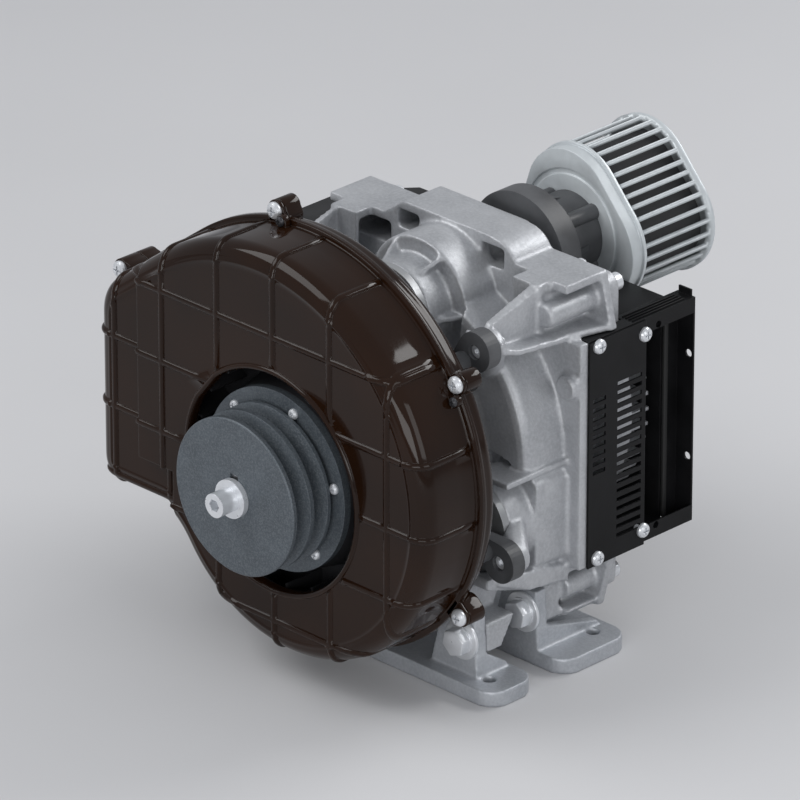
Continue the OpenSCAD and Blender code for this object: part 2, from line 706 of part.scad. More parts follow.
// Fan casing, front shell
module fan_cover_front() {
    color([0.16, 0.1, 0.07]) difference() {
        union() {
            difference() {
                union() {
                    volute_front(cover_y, seam_y, cover_round, 0);
                    intersection() {
                        volute_front(cover_y - rib_h, seam_y - 1, cover_round, -rib_h);
                        cover_rib_grid();
                    }
                }
                cover_step(0);
            }
            slab(seam_y - lip_t, seam_y) polygon(inward(-lip));
            for (p = cover_screw_at) cover_boss(p, seam_y - p[2], seam_y);
            for (p = small_screw_at) small_boss(p);
            for (p = bump_at) bar(7, seam_y - 12, seam_y - 1, p[0], p[1]);
            bar(inlet_r + 4, cover_y - 2, cover_y + 1);
        }
        difference() {
            for (k = [[0, 9], [3, 5.5], [7, casing_t]])
                slab(cover_y + casing_t + k[0], seam_y + cut) polygon(inward(k[1]));
            cover_step(casing_t);
        }
        bar(inlet_r, cover_y - 5, cover_y + 10);
        for (p = cover_screw_at) bar(3 + air, seam_y - p[2] - cut, seam_y + cut, p[0], p[1]);
        for (p = small_screw_at) bar(1.8 + air, seam_y - p[2] - cut, seam_y - p[2] + small_boss_t - 1, p[0], p[1]);
    }
}

module cover_screws() {
    color("gainsboro") for (p = cover_screw_at)
        facing_front(p[0], seam_y - p[2], p[1]) pan_screw(3, p[2] + 12, 6.4, 4.4);
}

module cover_small_screws() {
    color("gray") for (p = small_screw_at)
        facing_front(p[0], seam_y - p[2], p[1]) pan_screw(1.8, small_boss_t - 1.5, small_boss_r - 0.6, 2.6);
}

// Duct from the volute's outlet to the left side of the scrolls
module duct_form(d) {
    hull() {
        slab(back_y - d, back_y + 4) translate([-duct_x + 3 + d, 4 - duct_z + d])
            square([duct_x - 3 - side_in_x - 2 * d, duct_z + 80 - 2 * d]);
        slab(flange_y - 8, beam_y - 10) translate([-duct_x + 3 + d, d - flange_z])
            square([duct_x - 3 - side_in_x - 2 * d, 2 * flange_z - 2 * d]);
    }
}

module side_duct() {
    plan = [[3 - duct_x, beam_y - 12], [3 - duct_x, outlet_y1 - 40], [-146, outlet_y1], [-beam_x - air, outlet_y1],
        [-beam_x - air, beam_y + air], [-side_in_x, beam_y + air], [-side_in_x, beam_y - 12]];
    inner = [[5.5 - duct_x, beam_y - 13], [5.5 - duct_x, outlet_y1 - 41], [-147, outlet_y1 - 2.5],
        [-beam_x + cut, outlet_y1 - 2.5], [-beam_x + cut, beam_y + air], [-side_in_x, beam_y + air],
        [-side_in_x - 2.5, beam_y - 13]];
    color([0.1, 0.1, 0.1]) difference() {
        union() {
            duct_form(0);
            translate([0, 0, shaft_h - flange_z]) linear_extrude(2 * flange_z) polygon(plan);
        }
        duct_form(2.5);
        slab(back_y - cut, back_y + 5) translate([-duct_x + 5.5, 6.5 - duct_z])
            square([duct_x - 8 - side_in_x, duct_z + 75]);
        translate([0, 0, shaft_h - flange_z + 2.5]) linear_extrude(2 * flange_z - 5) polygon(inner);
    }
}

// Outlet duct: bent sheet, open to the right, with narrow flanges along its top and bottom
module outlet_duct() {
    color([0.12, 0.12, 0.13]) {
        difference() {
            union() {
                for (z = [flange_z - sheet_t, -flange_z]) {
                    block(beam_x + air, flange_x, beam_y, outlet_y1, z, z + sheet_t);
                    block(duct_in_x, beam_x + 1, shroud_y0 + 2, outlet_y1, z, z + sheet_t);
                }
                for (s = [-1, 1]) block(flange_x - sheet_t, flange_x, beam_y, outlet_y1,
                    s < 0 ? -flange_z : flange_z - duct_lip, s < 0 ? duct_lip - flange_z : flange_z);
                block(duct_in_x, flange_x, outlet_y1 - sheet_t, outlet_y1, -flange_z, flange_z);
                block(duct_in_x, duct_in_x + sheet_t, shroud_y1 + 2, outlet_y1, -flange_z, flange_z);
                block(duct_in_x + 2, flange_x - 3, outlet_y1 - sheet_t, outlet_y1, flange_z - 1, flange_z + 5);
            }
            for (z = [-38, 43]) bar(3, outlet_y1 - 4, outlet_y1 + cut, flange_x - 4.5, z);
            for (s = [-1, 1], y = [guard_screw_at[0], guard_screw_at[1], [72, 79]])
                translate([flange_x - 5, beam_y + y[0], shaft_h + s * y[1]]) rotate([0, 90, 0])
                    cylinder(r = 2.5 + air, h = 8);
        }
    }
}

// Slotted guard over the front part of the outlet duct
module duct_guard() {
    color([0.05, 0.05, 0.05]) difference() {
        block(flange_x, flange_x + sheet_t, beam_y, guard_y1, -flange_z - 1, flange_z - 1);
        for (i = [0 : 8]) block(flange_x - cut, flange_x + 4, beam_y + 4, beam_y + 17,
            -17 + i * slot_pitch, -13.5 + i * slot_pitch);
        for (i = [0 : 17]) block(flange_x - cut, flange_x + 4, beam_y + 29, beam_y + 54,
            -74 + i * slot_pitch, -70.5 + i * slot_pitch);
        for (s = [-1, 1], p = guard_screw_at)
            translate([flange_x - cut, beam_y + p[0], shaft_h + s * p[1]]) rotate([0, 90, 0])
                cylinder(r = 2.5 + air, h = 8);
    }
}

module guard_screws() {
    color("gainsboro") for (s = [-1, 1], p = guard_screw_at)
        facing_right(flange_x + sheet_t, beam_y + p[0], s * p[1]) pan_screw(2.5, 6, 5.5, 4);
}

// Fixed scroll: flange, round body, involute wrap, rear fins and discharge boss
module rounded_plate(x, z, r) {
    square([2 * x, 2 * (z - r)], center = true);
    square([2 * (x - r), 2 * z], center = true);
    for (s = [-1, 1], t = [-1, 1]) translate([s * (x - r), t * (z - r)]) circle(r);
}

module fixed_scroll() {
    color("lightgray") difference() {
        union() {
            difference() {
                union() {
                    slab(scroll_y, scroll_y + fixed_flange_t) rounded_plate(fixed_flange_x, fixed_flange_z, 11);
                    bar(fixed_r, scroll_y, fixed_fin_y);
                }
                bar(cavity_r, scroll_y - cut, floor_y);
            }
            slab(scroll_y + 0.1, floor_y + eps) rotate(180) polygon(wrap_outline(wrap_t));
            fins(fixed_r, 70, fixed_fin_y - eps, fixed_rear_y);
            bar(port_boss_r, fixed_fin_y - eps, fixed_rear_y);
        }
        slab(scroll_y, scroll_y + 0.1 + tip_seal_d) rotate(180) polygon(wrap_outline(tip_seal_w + 0.2));
        ring(seal_r + seal_w + 0.1, seal_r - 0.1, scroll_y - cut, scroll_y + seal_d);
        bar(port_r, floor_y - cut, fixed_rear_y + cut);
        bar(10.5 + air, fixed_rear_y - 12, fixed_rear_y + cut);
        // Intake port through the wall, into the outer turn
        translate([intake_x, scroll_y + 26, shaft_h + cavity_r - 12]) cylinder(r = 8, h = 30);
        for (p = scroll_bolt_at) bar(scroll_bolt_r + air, scroll_y - cut, scroll_y + fixed_flange_t + cut,
            p[0], p[1]);
    }
}

module fixed_tip_seal() {
    color("black") slab(scroll_y, scroll_y + tip_seal_d) rotate(180) polygon(wrap_outline(tip_seal_w));
}

module dust_seal() {
    color("black") ring(seal_r + seal_w, seal_r, scroll_y - 0.1, scroll_y + seal_d - 0.05);
}

module scroll_bolts() {
    color("whitesmoke") for (p = scroll_bolt_at)
        facing_rear(p[0], scroll_y + fixed_flange_t, p[1]) socket_screw(scroll_bolt_r, 28, 6.5, 8);
}

// Black shroud over the rear fins, open to the ducts on both sides
module rear_shroud() {
    color([0.1, 0.1, 0.1]) difference() {
        block(-beam_x, duct_in_x - air, shroud_y0, shroud_y1, -flange_z, flange_z);
        block(-beam_x - cut, beam_x, shroud_y0 - cut, shroud_y1 - 2, 2 - flange_z, flange_z - 2);
        bar(fixed_r + air, shroud_y0 - cut, fixed_fin_y + air);
        bar(intake_r + air, shroud_y0 - cut, intake_y1 + air, intake_x, intake_z);
        bar(adapter_r + 5, intake_y1, shroud_y1 + cut, intake_x, intake_z);
        bar(port_boss_r, shroud_y1 - 5, shroud_y1 + cut);
    }
}

module discharge_fitting() {
    color("goldenrod") difference() {
        union() {
            bar(10.5, fixed_rear_y - 11.5, fixed_rear_y);
            translate([0, fixed_rear_y, shaft_h]) rotate([-90, 0, 0]) cylinder(r = 16, h = 12, $fn = 6);
            bar(10.5, fixed_rear_y + 12, fixed_rear_y + 26);
        }
        bar(7.5, fixed_rear_y - 20, fixed_rear_y + 30);
    }
}

// Intake: round housing on the fixed scroll, adapter with four lobes, suction filter
module intake_housing() {
    color([0.3, 0.3, 0.31]) difference() {
        union() {
            bar(intake_r, intake_y0, intake_y1 - 4, intake_x, intake_z);
            bar(intake_r - 4, intake_y0, intake_y1, intake_x, intake_z);
        }
        bar(fixed_r + air, intake_y0 - cut, intake_y1 + cut);
        difference() {
            bar(intake_r - 6, intake_y0 + 5, intake_y1 - 5, intake_x, intake_z);
            bar(fixed_r + 5, intake_y0, intake_y1);
        }
        translate([intake_x, scroll_y + 26, shaft_h + cavity_r]) cylinder(r = 8, h = 14);
        bar(adapter_r - 6, intake_y1 - 6, intake_y1 + cut, intake_x, intake_z);
    }
}

module intake_adapter() {
    color([0.25, 0.25, 0.26]) difference() {
        union() {
            bar(adapter_r, intake_y1, filter_y0, intake_x, intake_z);
            for (a = [45 : 90 : 315]) translate([intake_x, 0, intake_z]) polar(a, adapter_r - 1)
                bar(6, intake_y1, filter_y0);
            for (a = [0 : 90 : 270]) translate([intake_x, 0, intake_z]) radial_web(a, 4,
                [[adapter_r - 2, intake_y1], [adapter_r + 5, intake_y1], [adapter_r - 2, filter_y0 - 6]]);
        }
        bar(adapter_r - 6, intake_y1 - cut, filter_y0 + cut, intake_x, intake_z);
        bar(fixed_r + air, intake_y1 - cut, fixed_fin_y + air);
    }
}

// Outline of the filter: three lobes joined by straight sides, grown by d
module filter_outline(d) {
    polygon([for (a = lobe_at, t = [-60 : 8 : 60]) filter_lobe_d * [cos(a), sin(a)]
        + (filter_lobe_r + d) * [cos(a + t), sin(a + t)]]);
}

module filter_slab(y0, y1) {
    translate([intake_x, 0, intake_z]) slab(y0, y1) children();
}

module filter_base() {
    color("silver") difference() {
        union() {
            filter_slab(filter_y0, filter_y0 + filter_cap_t) filter_outline(0);
            filter_slab(filter_y0 + filter_cap_t - 3, filter_y0 + filter_cap_t) filter_outline(2);
        }
        filter_slab(filter_y0 + 3, filter_y0 + filter_cap_t + cut) filter_outline(-3);
        bar(adapter_r - 6, filter_y0 - cut, filter_y0 + 5, intake_x, intake_z);
        ring(adapter_r + 16, adapter_r + 12, filter_y0 - cut, filter_y0 + 1.2, intake_x, intake_z);
    }
}

module filter_element() {
    y0 = filter_y0 + 3;
    color([0.15, 0.15, 0.16]) difference() {
        filter_slab(y0, filter_y1 - filter_rear_t) filter_outline(-8);
        bar(adapter_r - 4, y0 - cut, filter_y1, intake_x, intake_z);
    }
}

// Cage: bars from the front cap to the rear plate
module filter_cage() {
    color("silver") {
        filter_slab(filter_y1 - filter_rear_t, filter_y1) difference() {
            filter_outline(2);
            circle(5 + air);
        }
        translate([intake_x, 0, intake_z]) for (i = [0 : filter_bar_n - 1]) {
            a = i * 360 / filter_bar_n;
            p = filter_edge(a, filter_lobe_r - 1.5);
            translate([p[0], 0, p[1]]) bar(1.5, filter_y0 + filter_cap_t, filter_y1 - filter_rear_t + eps,
                $fn = 16);
        }
    }
}

// Place on the rounded triangle of lobe radius r where the direction a leaves it
function filter_edge(a, r) = let (m = max([for (k = [0 : 2]) cos(a - lobe_at[k])]),
    best = [for (k = [0 : 2]) if (cos(a - lobe_at[k]) == m) lobe_at[k]][0],
    off = ((a - best + 540) % 360) - 180)
    abs(off) <= 60 && filter_lobe_d * sin(abs(off)) <= r && abs(edge_turn(off, r)) <= 60
    ? lobe_point(best, off, r) : side_point(a, r);
// Direction of the lobe's own normal where a ray at off degrees meets it
function edge_turn(off, r) = off + asin(filter_lobe_d * sin(off) / r);
function lobe_point(best, off, r) = filter_lobe_d * [cos(best), sin(best)]
    + r * [cos(best + edge_turn(off, r)), sin(best + edge_turn(off, r))];
function side_point(a, r) = let (m = max([for (k = [0 : 2]) cos(a - lobe_at[k] - 60)]))
    (filter_lobe_d / 2 + r) / m * [cos(a), sin(a)];

module filter_nut() {
    color("silver") {
        translate([intake_x, filter_y1, shaft_h + intake_z]) rotate([-90, 0, 0]) cylinder(r = 9, h = 7, $fn = 6);
        bar(5, filter_y1 - filter_rear_t - 4, filter_y1 + 0.5, intake_x, intake_z);
    }
}

// Bearings and seals that stay with the frame
module nose_seal() {
    color("black") ring(front_brg_r, journal_r + 0.1, nose_y, front_brg_y - air);
}

module front_bearing_outer() {
    color("gray") ring(front_brg_r, front_brg_r - 5, front_brg_y, front_brg_y + front_brg_w);
}

module rear_bearing_outer() {
    color("gray") ring(rear_brg_r, rear_brg_r - 5.5, rear_brg_y, rear_brg_y + rear_brg_w);
}

module aux_bearings() {
    color("gray") for (a = aux_at, k = [0, 1]) polar(a, aux_pcr)
        ring(aux_brg_r, aux_r + fit, aux_brg_y + k * aux_brg_w, aux_brg_y + (k + 1) * aux_brg_w);
}

// Cap over an auxiliary crank's bearings
module aux_cover(a) {
    color("silver") polar(a, aux_pcr) {
        difference() {
            union() {
                bar(aux_cover_r, aux_face_y - 6, aux_face_y);
                bar(aux_brg_r - 1, aux_face_y - 9, aux_face_y);
            }
            bar(aux_r + 3, aux_face_y - 4, aux_face_y + cut);
        }
        difference() {
            bar(aux_brg_r - air, aux_face_y - eps, aux_brg_y);
            bar(aux_brg_r - 3, aux_face_y - cut, aux_brg_y + cut);
        }
    }
}

module aux_cover_top() {
    aux_cover(aux_at[0]);
}

module aux_cover_left() {
    aux_cover(aux_at[1]);
}

module aux_cover_right() {
    aux_cover(aux_at[2]);
}

// Crankshaft with its cheek and eccentric pin; the pin points up at rest
module crankshaft() {
    pin_end = boss_y + orbit_brg_w + 5;
    color("slategray") difference() {
        union() {
            turned([[0, pulley_y + 1], [shaft_r - 1, pulley_y + 1], [shaft_r, pulley_y + 2], [shaft_r, hub_y],
                [journal_r, hub_y], [journal_r, front_brg_y + front_brg_w],
                [journal_r + 4, front_brg_y + front_brg_w], [journal_r + 4, rear_brg_y - 3],
                [rear_journal_r + 2, rear_brg_y - 3], [rear_journal_r + 2, rear_brg_y],
                [rear_journal_r, rear_brg_y], [rear_journal_r, cheek_y - 1],
                [rear_journal_r + 4, cheek_y - 1], [rear_journal_r + 4, cheek_y], [cheek_r, cheek_y],
                [cheek_r, cheek_y + cheek_t], [0, cheek_y + cheek_t]]);
            bar(pin_r, cheek_y, pin_end, 0, orbit_r);
        }
        bar(6 + air, pulley_y, pulley_y + 34);
        block(-key_w / 2, key_w / 2, pulley_y, pulley_y + 34, shaft_r - 4, shaft_r + 5);
        for (s = [-1, 1]) bar(3 + air, cheek_y + 2, cheek_y + cheek_t + cut, s * 20, -26);
    }
}

module pulley() {
    g = (groove_w - 5) / 2;
    rim = (pulley_w - 2 * groove_w) / 3;
    groove = [for (k = [0, 1]) let (y = pulley_y + rim + k * (rim + groove_w))
        [[pulley_r, y], [pulley_r - groove_d, y + g], [pulley_r - groove_d, y + groove_w - g],
        [pulley_r, y + groove_w]]];
    color([0.23, 0.25, 0.29]) difference() {
        turned(concat([[shaft_r + fit, pulley_y], [pulley_r - 1, pulley_y], [pulley_r, pulley_y + 1]],
            groove[0], groove[1], [[pulley_r, hub_y - 1], [pulley_r - 1, hub_y], [shaft_r + fit, hub_y]]));
        block(-key_w / 2, key_w / 2, pulley_y - cut, hub_y + cut, 0, shaft_r + 3.6);
    }
}

module pulley_key() {
    color("gray") block(0.05 - key_w / 2, key_w / 2 - 0.05, pulley_y + 2, pulley_y + 32, shaft_r - 3.95,
        shaft_r + 3.4);
}

module pulley_washer() {
    color("whitesmoke") ring(14.5, 6 + air, pulley_y - 4.5, pulley_y);
}

module pulley_bolt() {
    color("whitesmoke") facing_front(0, pulley_y - 4.5, 0) socket_screw(6, 34, 9, 15);
}

// Fan hub: flange and sleeve on the shaft
module fan_hub() {
    color([0.2, 0.22, 0.25]) difference() {
        union() {
            bar(24, hub_y, hub_y + 38);
            bar(hub_r, hub_y + 3, hub_y + 9);
        }
        bar(journal_r + fit, hub_y - cut, hub_y + 40);
        for (a = [12 : 60 : 312]) polar(a, 60) bar(2.5 + air, hub_y, hub_y + 12);
    }
}

// Impeller: dished back plate, backward curved blades, front ring
module fan_impeller() {
    y = hub_y + 9;
    blade_r = 74;
    color([0.12, 0.12, 0.13]) difference() {
        union() {
            turned([[26, y], [hub_r, y], [76, y + 34], [fan_r, y + 34], [fan_r, y + 36.5], [74, y + 36.5],
                [hub_r - 3, y + 2.5], [26, y + 2.5]]);
            turned([[inlet_r + 3, y - 2], [fan_r, y], [fan_r, y + 2], [inlet_r + 3, y]]);
            for (i = [0 : fan_blades - 1]) about_shaft(i * 360 / fan_blades)
                slab(y - 1, y + 35) intersection() {
                    difference() {
                        translate([84, -38]) circle(44);
                        translate([84, -38]) circle(42);
                    }
                    difference() {
                        circle(fan_r - 1);
                        circle(inlet_r - 1);
                        translate([0, -200]) square([200, 200 - 2]);
                    }
                }
        }
        for (a = [12 : 60 : 312]) polar(a, 60) bar(2.5 + air, y - cut, y + 4);
    }
}

module fan_hub_bolts() {
    color("whitesmoke") for (a = [12 : 60 : 312]) polar(a, 60)
        facing_front(0, hub_y + 3, 0) pan_screw(2.5, 8.5, 4, 3);
}

module front_bearing_inner() {
    color("gray") ring(journal_r + 4.5, journal_r + fit, front_brg_y, front_brg_y + front_brg_w);
}

module rear_bearing_inner() {
    color("gray") ring(rear_journal_r + 5.5, rear_journal_r + fit, rear_brg_y, rear_brg_y + rear_brg_w);
}

// Balls of both bearings, between the inner and outer rings
module balls(r_in, r_out, y, n) {
    r = (r_out - r_in) / 2 - 0.15;
    for (i = [0 : n - 1]) polar(i * 360 / n, (r_in + r_out) / 2) translate([0, y, shaft_h]) sphere(r);
}

module bearing_balls() {
    color("silver") {
        balls(journal_r + 4.5, front_brg_r - 5, front_brg_y + front_brg_w / 2, 12);
        balls(rear_journal_r + 5.5, rear_brg_r - 5.5, rear_brg_y + rear_brg_w / 2, 14);
    }
}

// Counterweight: a half ring round the cheek, with a plate screwed to its rear
module counterweight() {
    color("darkgray") difference() {
        intersection() {
            bar(weight_r, cheek_y + 1, weight_y);
            block(-weight_r, weight_r, cheek_y, weight_y, -weight_r - 1, -orbit_r - 12);
        }
        bar(cheek_r + air, cheek_y, cheek_y + cheek_t);
        for (s = [-1, 1]) {
            bar(3 + air, cheek_y, weight_y + cut, s * 20, -26);
            bar(5.5 + air, weight_y - 3.5, weight_y + cut, s * 20, -26);
        }
    }
}

module counterweight_bolts() {
    color("silver") for (s = [-1, 1])
        facing_rear(s * 20, weight_y - 3.5, -26) socket_screw(3, 11, 5.5, 3.5);
}

// Places children on the orbiting scroll's own centre, which stands above the shaft at rest
module orbit_centre() {
    translate([0, 0, orbit_r]) children();
}

module orbiting_scroll() {
    color("lightgray") orbit_centre() difference() {
        union() {
            bar(orbit_plate_r, plate_y, plate_y + orbit_plate_t);
            slab(plate_y + orbit_plate_t - eps, scroll_y - 0.2 + wrap_h) polygon(wrap_outline(wrap_t));
            fins(orbit_plate_r - 4, 90, plate_y - fin_h, plate_y + eps);
            bar(orbit_boss_r, boss_y, plate_y + eps);
            for (a = aux_at) polar(a, aux_pcr) bar(orbit_lobe_r, orbit_lobe_y, plate_y + orbit_plate_t);
        }
        bar(orbit_brg_r + fit, boss_y - cut, boss_y + orbit_brg_w + 2);
        bar(orbit_brg_r - 6, boss_y, plate_y);
        for (a = aux_at) polar(a, aux_pcr) {
            bar(aux_brg_r + fit, orbit_lobe_y - cut, orbit_lobe_y + aux_brg_w + 1);
            bar(aux_brg_r - 5, orbit_lobe_y, plate_y + 2);
        }
        slab(scroll_y - 0.2 + wrap_h - tip_seal_d, scroll_y + wrap_h) polygon(wrap_outline(tip_seal_w + 0.2));
    }
}

module orbit_tip_seal() {
    color("black") orbit_centre() slab(scroll_y - 0.2 + wrap_h - tip_seal_d, scroll_y - 0.1 + wrap_h)
        polygon(wrap_outline(tip_seal_w));
}

module orbit_bearing() {
    color("gray") orbit_centre() ring(orbit_brg_r, pin_r + fit, boss_y + 1, boss_y + 1 + orbit_brg_w);
}

module aux_orbit_bearings() {
    color("gray") orbit_centre() for (a = aux_at) polar(a, aux_pcr)
        ring(aux_brg_r, aux_r + air, orbit_lobe_y, orbit_lobe_y + aux_brg_w);
}

// Auxiliary crank: journal in the frame, cheek, and pin in the orbiting scroll
module aux_crank(a) {
    color("slategray") polar(a, aux_pcr) {
        bar(aux_r, aux_brg_y - 1, aux_cheek_y + eps);
        hull() {
            bar(aux_cheek_r - 2, aux_cheek_y, aux_cheek_y + aux_cheek_t, $fn = 32);
            bar(aux_r + 3, aux_cheek_y, aux_cheek_y + aux_cheek_t, 0, orbit_r, $fn = 32);
        }
        bar(aux_r, aux_cheek_y + aux_cheek_t - eps, orbit_lobe_y + aux_brg_w + 1, 0, orbit_r);
    }
}

module aux_crank_top() {
    aux_crank(aux_at[0]);
}

module aux_crank_left() {
    aux_crank(aux_at[1]);
}

module aux_crank_right() {
    aux_crank(aux_at[2]);
}

main_frame();
front_foot();
rear_foot();
foot_bolts();
casing_brackets();
bracket_bolts();
fan_casing_back();
fan_cover_front();
cover_screws();
cover_small_screws();
side_duct();
outlet_duct();
duct_guard();
guard_screws();
fixed_scroll();
fixed_tip_seal();
dust_seal();
scroll_bolts();
rear_shroud();
discharge_fitting();
intake_housing();
intake_adapter();
filter_base();
filter_element();
filter_cage();
filter_nut();
nose_seal();
front_bearing_outer();
rear_bearing_outer();
aux_bearings();
aux_cover_top();
aux_cover_left();
aux_cover_right();
crankshaft();
pulley();
pulley_key();
pulley_washer();
pulley_bolt();
fan_hub();
fan_impeller();
fan_hub_bolts();
front_bearing_inner();
rear_bearing_inner();
bearing_balls();
counterweight();
counterweight_bolts();
orbiting_scroll();
orbit_tip_seal();
orbit_bearing();
aux_orbit_bearings();
aux_crank_top();
aux_crank_left();
aux_crank_right();
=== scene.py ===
import json
import math

import bpy
import numpy as np
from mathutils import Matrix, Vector


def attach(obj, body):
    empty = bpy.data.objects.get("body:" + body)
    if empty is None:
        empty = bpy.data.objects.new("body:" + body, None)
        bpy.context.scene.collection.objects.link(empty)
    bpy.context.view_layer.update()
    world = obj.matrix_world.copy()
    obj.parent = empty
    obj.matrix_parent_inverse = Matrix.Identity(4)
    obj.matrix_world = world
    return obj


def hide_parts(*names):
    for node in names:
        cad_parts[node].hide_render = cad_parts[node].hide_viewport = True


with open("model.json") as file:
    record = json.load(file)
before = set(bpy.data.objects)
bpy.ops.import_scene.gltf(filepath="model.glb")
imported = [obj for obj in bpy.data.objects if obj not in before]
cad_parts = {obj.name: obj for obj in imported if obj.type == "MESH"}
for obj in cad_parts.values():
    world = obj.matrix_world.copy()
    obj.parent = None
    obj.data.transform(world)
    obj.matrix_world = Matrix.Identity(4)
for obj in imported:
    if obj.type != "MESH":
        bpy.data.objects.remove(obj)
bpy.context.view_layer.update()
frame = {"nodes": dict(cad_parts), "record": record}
nodes = frame["nodes"]

# Lengths are in metres. A place across the shaft is (x, height above the shaft).
SHAFT_Z = 0.160

# Camera: the photograph's angle, its distance, and where the pulley's front face lies in it
AZIMUTH = math.radians(44.76)
ELEVATION = math.radians(25.13)
FOCAL_PX = 9000.0
CAMERA_AWAY = 6.3
PULLEY_FACE = Vector((0.0, -0.187, 0.1603))
PULLEY_PX = (234.0, 497.0)
IMAGE_PX = 800.0
SENSOR_MM = 36.0

# Samples of the shading that rolls over a sharp edge
EDGE_SAMPLES = 6


class Wire:
    """A value on its way through a material. A sum or a product adds a Math node."""

    def __init__(self, finish, socket):
        self.finish = finish
        self.socket = socket

    def __add__(self, other):
        return self.finish.node("Math", {"operation": "ADD"}, {0: self, 1: other})

    def __mul__(self, other):
        return self.finish.node("Math", {"operation": "MULTIPLY"}, {0: self, 1: other})


class Finish:
    """A material with a Principled surface, built from Object coordinates."""

    def __init__(self, name, colour, roughness, metallic=0.0, specular=0.5):
        self.material = bpy.data.materials.new(name)
        self.material.use_nodes = True
        self.tree = self.material.node_tree
        self.surface = self.tree.nodes["Principled BSDF"]
        for socket, value in (("Base Color", (*colour, 1.0)), ("Metallic", metallic),
                              ("Roughness", roughness), ("Specular IOR Level", specular)):
            self.surface.inputs[socket].default_value = value
        self.place = self.node("TexCoord", out="Object")

    def node(self, kind, settings=None, inputs=None, out=0):
        """Adds a shader node with its settings and inputs, and gives one of its outputs."""
        made = self.tree.nodes.new("ShaderNode" + kind)
        for key, value in (settings or {}).items():
            setattr(made, key, value)
        for key, value in (inputs or {}).items():
            if isinstance(value, Wire):
                self.tree.links.new(value.socket, made.inputs[key])
            elif isinstance(value, tuple):
                made.inputs[key].default_value = (*value, 1.0)
            else:
                made.inputs[key].default_value = value
        return Wire(self, made.outputs[out])

    def noise(self, scale, detail=4.0, roughness=0.55):
        inputs = {"Vector": self.place, "Scale": scale, "Detail": detail, "Roughness": roughness}
        return self.node("TexNoise", {}, inputs, out="Fac")

    def ramp(self, value, low, high):
        """Stretches the part of value between low and high over 0 to 1."""
        return self.node("MapRange", {}, {"Value": value, "From Min": low, "From Max": high})

    def mix(self, share, first, second):
        return self.node("Mix", {"data_type": "RGBA"}, {0: share, 6: first, 7: second}, out=2)

    def colour(self, value):
        self.tree.links.new(value.socket, self.surface.inputs["Base Color"])

    def rough(self, value):
        self.tree.links.new(value.socket, self.surface.inputs["Roughness"])

    def relief(self, height, depth, strength, under=None):
        """Bump of height 0 to 1, depth metres deep, on top of the normal under it."""
        inputs = {"Height": height, "Strength": strength, "Distance": depth}
        if under is not None:
            inputs["Normal"] = under
        bump = self.node("Bump", {}, inputs, out="Normal")
        self.tree.links.new(bump.socket, self.surface.inputs["Normal"])

    def soft_edges(self, radius):
        """Normals that roll over every edge, as on a cast or painted piece."""
        return self.node("Bevel", {"samples": EDGE_SAMPLES}, {"Radius": radius}, out="Normal")


def tint(colour, factor):
    return tuple(factor * part for part in colour)


def cast_alloy(name, light, dark, edge):
    """Sand-cast aluminium: even grey, fine grain, faint cloudiness, and scattered specks of a paler grey."""
    made = Finish(name, light, metallic=0.55, roughness=0.42)
    cloud = made.ramp(made.noise(26.0, 3.0), 0.35, 0.68)
    grain = made.noise(900.0, 2.0)
    speck = made.ramp(made.noise(420.0, 3.0, 0.6), 0.38, 0.7)
    shade = made.mix(cloud, dark, light)
    made.colour(made.mix(speck * 0.35, shade, edge))
    made.rough(made.ramp(grain, 0.3, 0.75) * 0.12 + 0.4)
    made.relief(grain * 0.6 + made.noise(260.0, 3.0) * 0.8, 0.00022, 1.0, made.soft_edges(0.0016))
    return made.material


def black_gloss(name, front, darker_reflection_brown):
    """Near-black moulding with a clear, mirror-like skin; its brown base colour, clouded between two browns,
    is a painted warm reflection.
    """
    made = Finish(name, darker_reflection_brown, roughness=0.07, specular=0.24)
    painted_reflection_cloud = made.ramp(made.noise(9.0, 2.0), 0.3, 0.72)
    # Painted reflection: the base colour clouds between two browns
    made.colour(made.mix(painted_reflection_cloud, darker_reflection_brown, front))
    made.rough(made.ramp(made.noise(60.0, 3.0), 0.35, 0.8) * 0.05 + 0.05)
    made.relief(made.noise(34.0, 2.0), 0.00012, 0.4, made.soft_edges(0.0008))
    return made.material


def black_powder(name, colour, roughness, specular=0.5):
    """Black powder coat: satin, with a fine orange-peel skin."""
    made = Finish(name, colour, roughness=roughness, specular=specular)
    peel = made.noise(700.0, 2.0)
    haze = made.ramp(made.noise(30.0, 3.0), 0.35, 0.7)
    made.colour(made.mix(haze, tint(colour, 0.75), tint(colour, 1.5)))
    made.rough(haze * 0.12 + (roughness - 0.05))
    made.relief(peel, 0.00008, 0.7, made.soft_edges(0.0005))
    return made.material


def speckled_iron(name, dark, light):
    """Dark blue-grey finish with fine pale specks, as on a phosphated casting."""
    made = Finish(name, dark, metallic=0.35, roughness=0.5)
    speck = made.ramp(made.noise(820.0, 4.0, 0.65), 0.44, 0.72)
    cloud = made.ramp(made.noise(45.0, 3.0), 0.3, 0.7)
    base = made.mix(cloud, tint(dark, 0.8), dark)
    made.colour(made.mix(speck * 0.6, base, light))
    made.rough(speck * 0.15 + 0.42)
    made.relief(speck, 0.00012, 0.8, made.soft_edges(0.0006))
    return made.material


def bright_steel(name, colour, roughness, metallic=0.9):
    """Zinc-plated or ground steel with faint wear."""
    made = Finish(name, colour, metallic=metallic, roughness=roughness)
    haze = made.ramp(made.noise(110.0, 3.0), 0.25, 0.8)
    made.colour(made.mix(haze, tint(colour, 0.88), colour))
    made.rough(haze * 0.1 + (roughness - 0.04))
    made.relief(made.noise(900.0, 2.0), 0.00002, 0.3, made.soft_edges(0.0004))
    return made.material


